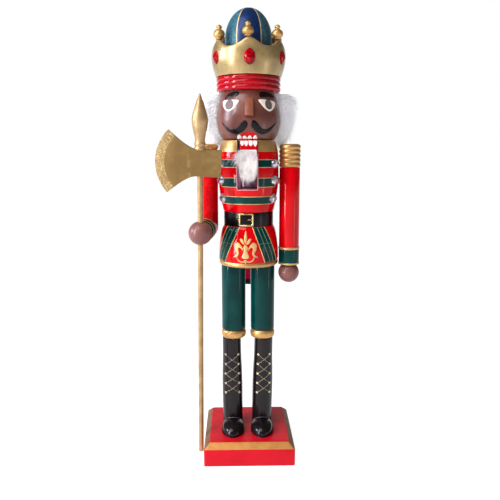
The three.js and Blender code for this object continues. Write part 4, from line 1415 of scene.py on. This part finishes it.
def make_crown_shell():
    node = "crown_shell"
    low, high = box_mm(node)
    rim_mean, rim_wave, wall = high.z - 5, 5, 5
    lift, span = 43.2, 5.6

    def swollen(z):
        return lift + span * math.sin(math.pi * (z - low.z + 0.3) / 52)

    def warp(radius, angle, share):
        peaks = math.cos(6 * angle)
        rim = rim_mean + rim_wave * (peaks + 0.12 * math.cos(12 * angle) - 0.12)
        z = low.z + share * (rim - low.z)
        return swollen(z) + radius - 10, z

    outer = [(10, i / 14 * 0.96) for i in range(15)]
    lip = [(9.8, 0.98), (9.1, 0.995), (7.5, 1.0), (5.9, 0.995), (5.2, 0.98)]
    inner = [(10 - wall, 0.96 - i / 8 * 0.96) for i in range(9)]
    shell = turned("gold_crown_shell", outer + lip + inner, ["crown_gold"], 192, warp=warp, loop=True)
    stand_for(shell, node)


def make_dome():
    node = "crown_dome"
    low, high = box_mm(node)
    wide = (high.x - low.x) / 2
    shoulder = 567
    fullness = 2.05
    side = [(wide, low.z), (wide, (low.z + shoulder) / 2)]
    for i in range(33):
        rise = math.sin(math.pi / 2 * i / 33)
        side.append((wide * (1 - rise**fullness) ** (1 / fullness), shoulder + rise * (high.z - shoulder)))
    gores = turned("painted_dome", [(0, low.z), *side, (0, high.z)], ["navy", "teal"], 144,
                   paint=lambda z, angle: int((angle + 30) // 60) % 2)
    stand_for(gores, node)
    seams = []
    for angle in range(30, 360, 60):
        a = math.radians(angle)
        path = [Vector((r * math.sin(a), -r * math.cos(a), z)) for r, z in side[1:]]
        ups = []
        for before, after in zip([path[0], *path], [*path[1:], path[-1]]):
            ahead = (after - before).normalized()
            ups.append(Vector((math.cos(a), math.sin(a), 0)).cross(ahead) * -1)
        seams.append(raised_line("seam", path, ups, 1.1, 0.45, "gold_line"))
    trim_on(join("dome_seams", seams), node, "gold_paint")


def make_finials_and_gems():
    for index in range(1, 7):
        node = f"crown_finial_{index}"
        shape = [(0.5, 0), (0.6, 0.04), (0.56, 0.08), (0.86, 0.19), (1, 0.37), (0.86, 0.56), (0.46, 0.69),
                 (0.38, 0.74), (0.5, 0.84), (0.38, 0.94), (0.14, 1)]
        outline = unit_outline(node, open_curve(shape, 4))
        stand_for(turned(f"gold_finial_{index}", outline, ["gold"], 48, upright(middle_mm(node))), node)
        node = f"crown_gem_{index}"
        place, depth = stone_place(node)
        at_side = abs(place.translation.x) > 30
        half_height, raised = (9.6, 3) if at_side else (11.6, 1.2)
        rim = gem_rim(7.8, half_height, 0.16, 16)
        sunk = place @ Matrix.Translation((0, raised, -0.9))
        stand_for(cut_gem(f"ruby_{index}", sunk, rim, depth * 0.72, "ruby", "ruby_dark_rim"), node)


# ------------------------------------------------------------------ arms


def make_epaulette(side):
    node = f"{side}_epaulette"
    low, high = box_mm(node)
    wide = (high.x - low.x) / 2
    rings = 5
    stack = beads(wide, low.z, (high.z - low.z - 1) / rings, rings, 8, 1.5, 0.5)
    outline = [(0, low.z), *stack, (wide - 3.2, high.z), (0, high.z)]
    place = upright(middle_mm(node))
    stand_for(turned(f"gold_{side}_epaulette", outline, ["gold"], 96, place, sharp=50), node)


def make_left_arm():
    _, place = column("left_sleeve", "red_left_sleeve", "red", 0.8)
    side, _ = column("left_cuff", "green_left_cuff", "green", 0.9, place)
    (_, bottom), (_, top) = side
    cuff_lines("left_cuff", Drum(side, place), ((bottom + 1.4, 2.6), (top + 1.6, 3.2)))

    node = "left_hand"
    low, high = box_mm(node)
    radius = (high.x - low.x) / 2
    outline = ball_outline(radius, low.z + radius, high.z)
    stand_for(turned("satin_left_hand", outline, ["hand"], 96, upright(middle_mm(node))), node)


def cuff_lines(cuff, drum, rings):
    """Gold rings painted round a cuff, each at a height and with a width."""
    lines = []
    for z, width in rings:
        rim = [(a, z) for a in range(0, 360, 5)]
        lines.append(paint_line("cuff_line", drum, rim, width, 0.5, "gold_line", 1, True, False))
    trim_on(join(f"{cuff}_lines", lines), cuff, "gold_paint")


def ball_outline(radius, z, top):
    """A ball about a height on the axis, cut flat at its top."""
    outline = []
    for i in range(49):
        up = math.pi * i / 48 - math.pi / 2
        h = z + radius * math.sin(up)
        if h > top:
            break
        outline.append((max(0.0, radius * math.cos(up)) if i else 0, h))
    return outline + [(math.sqrt(radius**2 - (top - z) ** 2), top), (0, top)]


def make_right_arm():
    upper_low, upper_high = group_box("right_upper_sleeve", TRUNK)
    radius = (upper_high.y - upper_low.y) / 2
    wrist = centre_of(points_mm("right_cuff"))
    shoulder = TRUNK @ Vector(((upper_low.x + upper_high.x) / 2, 0, upper_high.z))
    hand = hand_centre()
    elbow = elbow_point(shoulder, wrist, hand)
    ahead = (hand - elbow).normalized()
    down = Vector((0, 0, -1))
    bend, sleeve_end = 5, 21
    above, beyond = elbow - down * bend, elbow + ahead * bend
    path = [shoulder, shoulder.lerp(elbow, 0.5), above]
    path += [bezier(above, elbow, beyond, i / 8) for i in range(1, 8)]
    path += [beyond, elbow + ahead * sleeve_end]
    level = down.cross(ahead).normalized()
    circle = [(radius * math.cos(2 * math.pi * i / 96), radius * math.sin(2 * math.pi * i / 96))
              for i in range(96)]
    vertices, faces = sweep_mesh(path, [level] * len(path), circle)
    sleeve = outward(vertices, faces, ["sleeve_red"], name="red_right_sleeve")
    stand_for(sleeve, "right_upper_sleeve", "right_forearm")

    cuff_place = along(elbow + ahead * (sleeve_end + 0.3), ahead)
    length = 19.3
    cuff = fillet([(0, 0), (radius + 0.3, 0), (radius + 0.3, length - 3), (radius + 0.9, length - 1.6),
                   (radius + 0.4, length), (0, length)], 0.8)
    stand_for(turned("green_right_cuff", cuff, ["cuff_green"], 96, cuff_place), "right_cuff")
    drum = Drum([(radius + 0.3, 0), (radius + 0.6, length)], cuff_place)
    cuff_lines("right_cuff", drum, ((0.2, 2.4), (length - 1.5, 1.2)))
    make_right_hand(hand, ahead)


HAND_RADIUS = 15.5


def hand_centre():
    """The ball's centre, from the three sides of its box that its flat wrist doesn't cut."""
    low, high = box_mm("right_hand")
    return Vector(((low.x + high.x) / 2, low.y + HAND_RADIUS, (low.z + high.z) / 2))


def elbow_point(shoulder, wrist, hand):
    """Where the forearm's centre line meets the upper arm's."""
    ahead = (hand - wrist).normalized()
    run = (shoulder - wrist).to_2d().dot(ahead.to_2d()) / ahead.to_2d().length_squared
    return Vector((shoulder.x, shoulder.y, (wrist + ahead * run).z - 2.5))


def make_right_hand(centre, ahead):
    """A ball with a flat wrist, bored for the staff."""
    wrist, bore_radius = 11.2, 3.9
    outline = ball_outline(HAND_RADIUS, 0, wrist)
    hand = turned("satin_right_hand", outline, ["hand"], 96, along(centre, -ahead))
    bore = [(0, 250), (bore_radius, 250), (bore_radius, 400), (0, 400)]
    cut(hand, turned("bore", bore, ["slot"], 48, staff_place()))
    stand_for(hand, "right_hand")


# ------------------------------------------------------------------ staff


ROD_RADIUS = 3.5
SPEAR_RADIUS = 10


def staff_place():
    """Z runs up the staff from its foot."""
    rod = points_mm("staff_rod")
    axis = Vector(JOINTS["staff_slide"]["axis"]).normalized()
    heights = rod @ np.array(axis)
    return along(centre_of(rod[heights < heights.min() + 0.05]), axis)


def make_staff():
    place = staff_place()

    def span(node):
        heights = points_mm(node, place)[:, 2]
        return heights.min(), heights.max()

    low, high = span("staff_rod")
    rod = fillet([(0, low), (ROD_RADIUS, low), (ROD_RADIUS, high), (0, high)], 0.5)
    stand_for(turned("gold_rod", rod, ["staff_gold"], 48, place), "staff_rod")
    make_axe(place, span("axe_head"))

    low, high = span("spear_finial")
    shape = [(0.62, 0), (0.7, 0.015), (0.72, 0.035), (0.65, 0.065), (0.645, 0.08), (0.7, 0.1), (0.7, 0.12),
             (0.64, 0.145), (0.63, 0.18), (0.67, 0.24), (0.9, 0.39), (1, 0.52), (0.965, 0.59), (0.85, 0.67),
             (0.43, 0.86), (0.1, 0.985), (0.03, 1)]
    side = open_curve([(SPEAR_RADIUS * r, low + (high - low) * h) for r, h in shape], 5)
    spear = turned("gold_spear", [(0, low), *side, (0, high)], ["staff_gold"], 64, place)
    stand_for(spear, "spear_finial")


AXE_TIP_X, AXE_TIP_Z = -40.3, 39.1
AXE_EDGE, AXE_BEVEL = 56.8, 45.0  # radii of the cutting edge and of the bevel's inner edge
AXE_CENTRE = AXE_TIP_X + math.sqrt(AXE_EDGE**2 - AXE_TIP_Z**2)


def axe_half_thickness(x, z):
    """Full on the flat, thinning over the bevel towards the edge."""
    half, half_edge = 4.5, 1.0
    reach = math.hypot(x - AXE_CENTRE, z) if x < AXE_CENTRE else 0
    t = min(1, max(0, (reach - AXE_BEVEL) / (AXE_EDGE - AXE_BEVEL)))
    return half + (half_edge - half) * t


def on_axe_bevel(x, z):
    return math.hypot(x - AXE_CENTRE, z) > AXE_BEVEL


def make_axe(place, heights):
    """A flat board with hollow sides, bevelled towards its round cutting edge."""
    back, neck = 26.4, 16.6
    hollow = [(bezier(-5, -17, AXE_TIP_X, i / 24), bezier(neck, neck + 1, AXE_TIP_Z, i / 24))
              for i in range(25)]
    inner = [point for point in hollow if not on_axe_bevel(*point)]
    outer = hollow[len(inner):]
    bevel_arc = arc_points(AXE_BEVEL, inner[-1])
    edge_arc = arc_points(AXE_EDGE, (AXE_TIP_X, AXE_TIP_Z))
    lower_inner = [(x, -z) for x, z in inner[:-1]][::-1]
    face_outline = [(back, neck), *inner[:-1], *bevel_arc, *lower_inner, (back, -neck)]
    side_top = [bevel_arc[0], *outer]

    side_bottom = [(x, -z) for x, z in side_top]
    whole = [*face_outline[:len(inner)], *side_top, *edge_arc, *side_bottom[::-1],
             *face_outline[len(inner) + len(bevel_arc) - 1:]]
    vertices, faces, looks, loops = [], [], [], []

    def add(points, sign):
        first = len(vertices)
        vertices.extend((x, sign * axe_half_thickness(x, z), z) for x, z in points)
        return list(range(first, len(vertices)))

    for sign in (-1, 1):
        faces.append(add(face_outline, sign))
        strip_low, strip_high = add(bevel_arc, sign), add(edge_arc, sign)
        faces += bands([strip_low, strip_high], wrap=False)
        for side, corner in ((side_top, 0), (side_bottom, -1)):
            faces.append([strip_low[corner], *add(side, sign), strip_high[corner]])
        looks += [0] + [1] * (len(faces) - len(looks) - 1)
        loops.append(add(whole, sign))
    faces += bands(loops)
    looks += [int(on_axe_bevel(x, z) and x < AXE_CENTRE) for x, z in whole]
    tilt = Matrix.Rotation(math.radians(2), 4, "Y")
    middle = Matrix.Translation((0, 0, (heights[0] + heights[1]) / 2))
    head_place = place @ middle @ tilt
    vertices = [head_place @ Vector(v) for v in vertices]
    axe = outward(vertices, faces, ["axe_gold", "edge_glitter"], looks, "gold_axe", 20)
    stand_for(bevelled(axe, 0.5, 2, 40), "axe_head")


def arc_points(radius, end, steps=40):
    """Points of an arc about the axe's centre, from beside an end point down to its mirror."""
    half_angle = math.atan2(end[1], AXE_CENTRE - end[0])
    return [(AXE_CENTRE - radius * math.cos(a), radius * math.sin(a))
            for a in (half_angle * (1 - 2 * i / steps) for i in range(steps + 1))]


# ------------------------------------------------------------------ fur


def strands(name, paths, width, look, random):
    """One mesh of closed, three-sided, tapering hairs. paths is (hairs, steps, 3) in mm."""
    count, steps, _ = paths.shape
    ahead = np.gradient(paths, axis=1)
    ahead /= np.linalg.norm(ahead, axis=2, keepdims=True) + 1e-9
    reference = random.normal(size=(count, 1, 3))
    side = np.cross(ahead, reference)
    side /= np.linalg.norm(side, axis=2, keepdims=True) + 1e-9
    other = np.cross(ahead, side)
    taper = width * (1 - np.linspace(0, 1, steps) ** 1.6 * 0.85)[None, :, None] / 2
    taper = taper * random.uniform(0.75, 1.25, (count, 1, 1))
    rings = [paths + taper * (math.cos(a) * side + math.sin(a) * other)
             for a in (2 * math.pi * k / 3 for k in range(3))]
    vertices = np.stack(rings, axis=2).reshape(-1, 3)
    start = np.arange(count)[:, None, None] * steps * 3
    span = np.arange(steps - 1)[None, :, None] * 3
    corner = np.arange(3)[None, None, :]
    a = (start + span + corner).reshape(-1)
    b = (start + span + (corner + 1) % 3).reshape(-1)
    quads = np.stack([a, b, b + 3, a + 3], axis=1)
    roots = (np.arange(count) * steps * 3)[:, None] + np.array([2, 1, 0])
    tips = ((np.arange(count) + 1) * steps * 3 - 3)[:, None] + np.array([0, 1, 2])
    faces = quads.tolist() + roots.tolist() + tips.tolist()
    return new_piece(name, vertices, faces, [look], sharp=180)


def clumped(paths, roots, random, share, pull):
    """Draws each hair's tip towards a neighbour that leads its tuft."""
    leaders = random.choice(len(paths), max(1, int(len(paths) * share)), replace=False)
    nearest = np.empty(len(paths), int)
    for start in range(0, len(paths), 2000):
        gap = roots[start:start + 2000, None, :] - roots[leaders][None, :, :]
        nearest[start:start + 2000] = leaders[(gap**2).sum(axis=2).argmin(axis=1)]
    t = np.linspace(0, 1, paths.shape[1])[None, :, None] ** 1.3
    strength = pull * random.uniform(0.4, 1.0, (len(paths), 1, 1))
    lead = paths[nearest] - roots[nearest][:, None, :] + (0.45 * roots[nearest] + 0.55 * roots)[:, None, :]
    return paths + (lead - paths) * t * strength


def make_hair():
    random = np.random.default_rng(11)
    low, high = box_mm("head")
    drum = Drum(head_outline(), UPRIGHT)
    make_hair_core(drum, low.z + 3, high.z - 2.6)
    per_piece = 6000
    for name, start, end in (("hair_right_side", -128, -88), ("hair_left_side", 88, 128),
                             ("hair_right_back", -182, -124), ("hair_left_back", 124, 182)):
        angle = np.radians(random.uniform(start, end, per_piece))
        share = random.uniform(0, 1, per_piece) ** 0.85
        z = low.z + 1 + share * (high.z - low.z - 3)
        root_radius = np.array([drum.radius(h) for h in z]) - 0.5
        reach = np.interp(z, [440, 455, 475, 495, 502], [7, 11, 17.5, 26.5, 30])
        reach = reach * random.normal(1, 0.13, per_piece)
        drop = np.interp(z, [440, 450, 470, 495, 502], [13, 17, 21, 19, 9]) * random.normal(1, 0.3, per_piece)
        t = np.linspace(0, 1, 6)[None, :]
        out = root_radius[:, None] + reach[:, None] * (1 - (1 - t) ** 1.8)
        swing = angle[:, None] + np.radians(random.normal(0, 5, per_piece))[:, None] * t
        rise = z[:, None] + 3.5 * t - drop[:, None] * t**2.1
        pace = random.uniform(4, 9, (per_piece, 1))
        curl = 0.9 * np.sin(t * pace + random.uniform(0, 6.3, (per_piece, 1))) * t
        rise = np.minimum(rise + curl, high.z - 0.6 + np.clip(out - 44, 0, 2.5))
        paths = np.stack([out * np.sin(swing), -out * np.cos(swing) + curl, rise], axis=2)
        paths = clumped(paths, paths[:, 0], random, 0.05, 0.5)
        trim = strands(name, paths, 0.38, "fur", random)
        if name == "hair_right_side":
            stand_for(trim, "hair")
        else:
            trim_on(trim, "hair")


def make_hair_core(drum, bottom, top):
    """The fur's woven back, which fills the pile's depth behind its hairs."""
    steps, rows = 72, 14
    vertices, grid = [], []
    for i in range(steps + 1):
        angle = 94 + (266 - 94) * i / steps
        ring = []
        edge = min(1, i / 5, (steps - i) / 5)
        for lift, order in ((0.2, range(rows + 1)), (1, range(rows, -1, -1))):
            for j in order:
                share = j / rows
                z = bottom + share * (top - bottom)
                pile = np.interp(share, [0, 0.3, 0.8, 1], [5, 10, 14, 9]) * (0.3 + 0.7 * edge)
                bump = 2.2 * noise.noise((angle * 0.12, z * 0.12, 1.7))
                ring.append(len(vertices))
                height = 0.1 if lift < 1 else pile + bump
                vertices.append(drum.point(angle, z, height))
        grid.append(ring)
    faces = [grid[0][::-1], grid[-1], *bands(grid)]
    trim_on(outward(vertices, faces, ["fur"], name="hair_backing", sharp=180), "hair")


def make_beard():
    """Long pile on the jaw: most of it falls over the slot, and some fans out to the figure's right."""
    random = np.random.default_rng(23)
    low, high = group_box("beard", TRUNK)
    count = 6000
    middle = (low.x + high.x) / 2
    x = random.uniform(low.x + 0.2, high.x - 0.2, count)
    lower = random.uniform(0, 1, count) ** 1.5
    z = high.z - 0.6 - lower * 22
    y = np.full(count, high.y - 0.6)
    length = np.clip(random.normal(28, 6.5, count), 10, 44) * (1 - 0.4 * lower)
    length *= 1 - 0.3 * np.abs((x - middle) / 10.5) ** 2
    fan = np.clip(random.normal(-0.6, 1.7, count) + (x - middle) * 0.02, -7, 2.4)
    stray = (random.uniform(0, 1, count) < 0.42) & (x < middle) & (lower < 0.4)
    fan = np.where(stray, -random.gamma(2.4, 3.2, count), fan)
    length = np.where(stray, length * random.uniform(0.3, 0.7, count), length)
    forward = random.uniform(3.2, 7.6, count)
    t = np.linspace(0, 1, 6)[None, :]
    bulge = np.sin(np.minimum(t * 1.35, 1) * math.pi / 2)
    wave = np.sin(t * 7 + random.uniform(0, 6, (count, 1))) * t
    path_x = x[:, None] + fan[:, None] * t**1.2 + 0.5 * wave
    path_y = y[:, None] - forward[:, None] * bulge + np.clip(t - 0.65, 0, 1) * 5
    path_z = z[:, None] + 1.2 * np.sin(t * math.pi) - length[:, None] * t**1.15
    local = np.stack([path_x, path_y, path_z], axis=2)
    local = clumped(local, local[:, 0], random, 0.04, 0.5)
    turn = np.array(TRUNK.to_3x3())
    beard = strands("beard_fur", local @ turn.T, 0.27, "beard", random)
    trim_on(beard, "beard")
    beard_core(low, high)
    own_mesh(beard)


def beard_core(low, high):
    """The pad that the beard's hairs grow from."""
    outline = smooth_outline([(high.y, high.z - 1.5), (high.y - 2.2, high.z - 4), (high.y - 2.6, high.z - 10),
                              (high.y - 2.2, low.z + 8), (high.y, low.z + 4)], 5)
    place = TRUNK @ Matrix.Translation(((low.x + high.x) / 2, 0, 0))
    pad = slab("beard_pad", outline, high.x - low.x - 2.5, place, ["beard"], 0.6)
    stand_for(pad, "beard")


# ------------------------------------------------------------------ hidden CAD parts


def finish_hidden_parts():
    """Dowels and the jaw's pin keep their CAD meshes."""
    for name, node in frame["nodes"].items():
        if name.endswith("_dowel") or name == "lever_pin":
            look = "steel" if name == "lever_pin" else "wood"
            node.data.materials.clear()
            node.data.materials.append(MATERIALS[look])


make_studio()
make_camera()
make_floor()
make_base()
make_leg("right", (-40.5, 43))
make_leg("left", (-33.5, 43))
make_skirt()
make_belt()
make_torso()
make_chest_stones()
make_lever()
make_head()
make_crown_ring()
make_crown_shell()
make_dome()
make_finials_and_gems()
make_epaulette("right")
make_epaulette("left")
make_left_arm()
make_right_arm()
make_staff()
make_hair()
make_beard()
finish_hidden_parts()
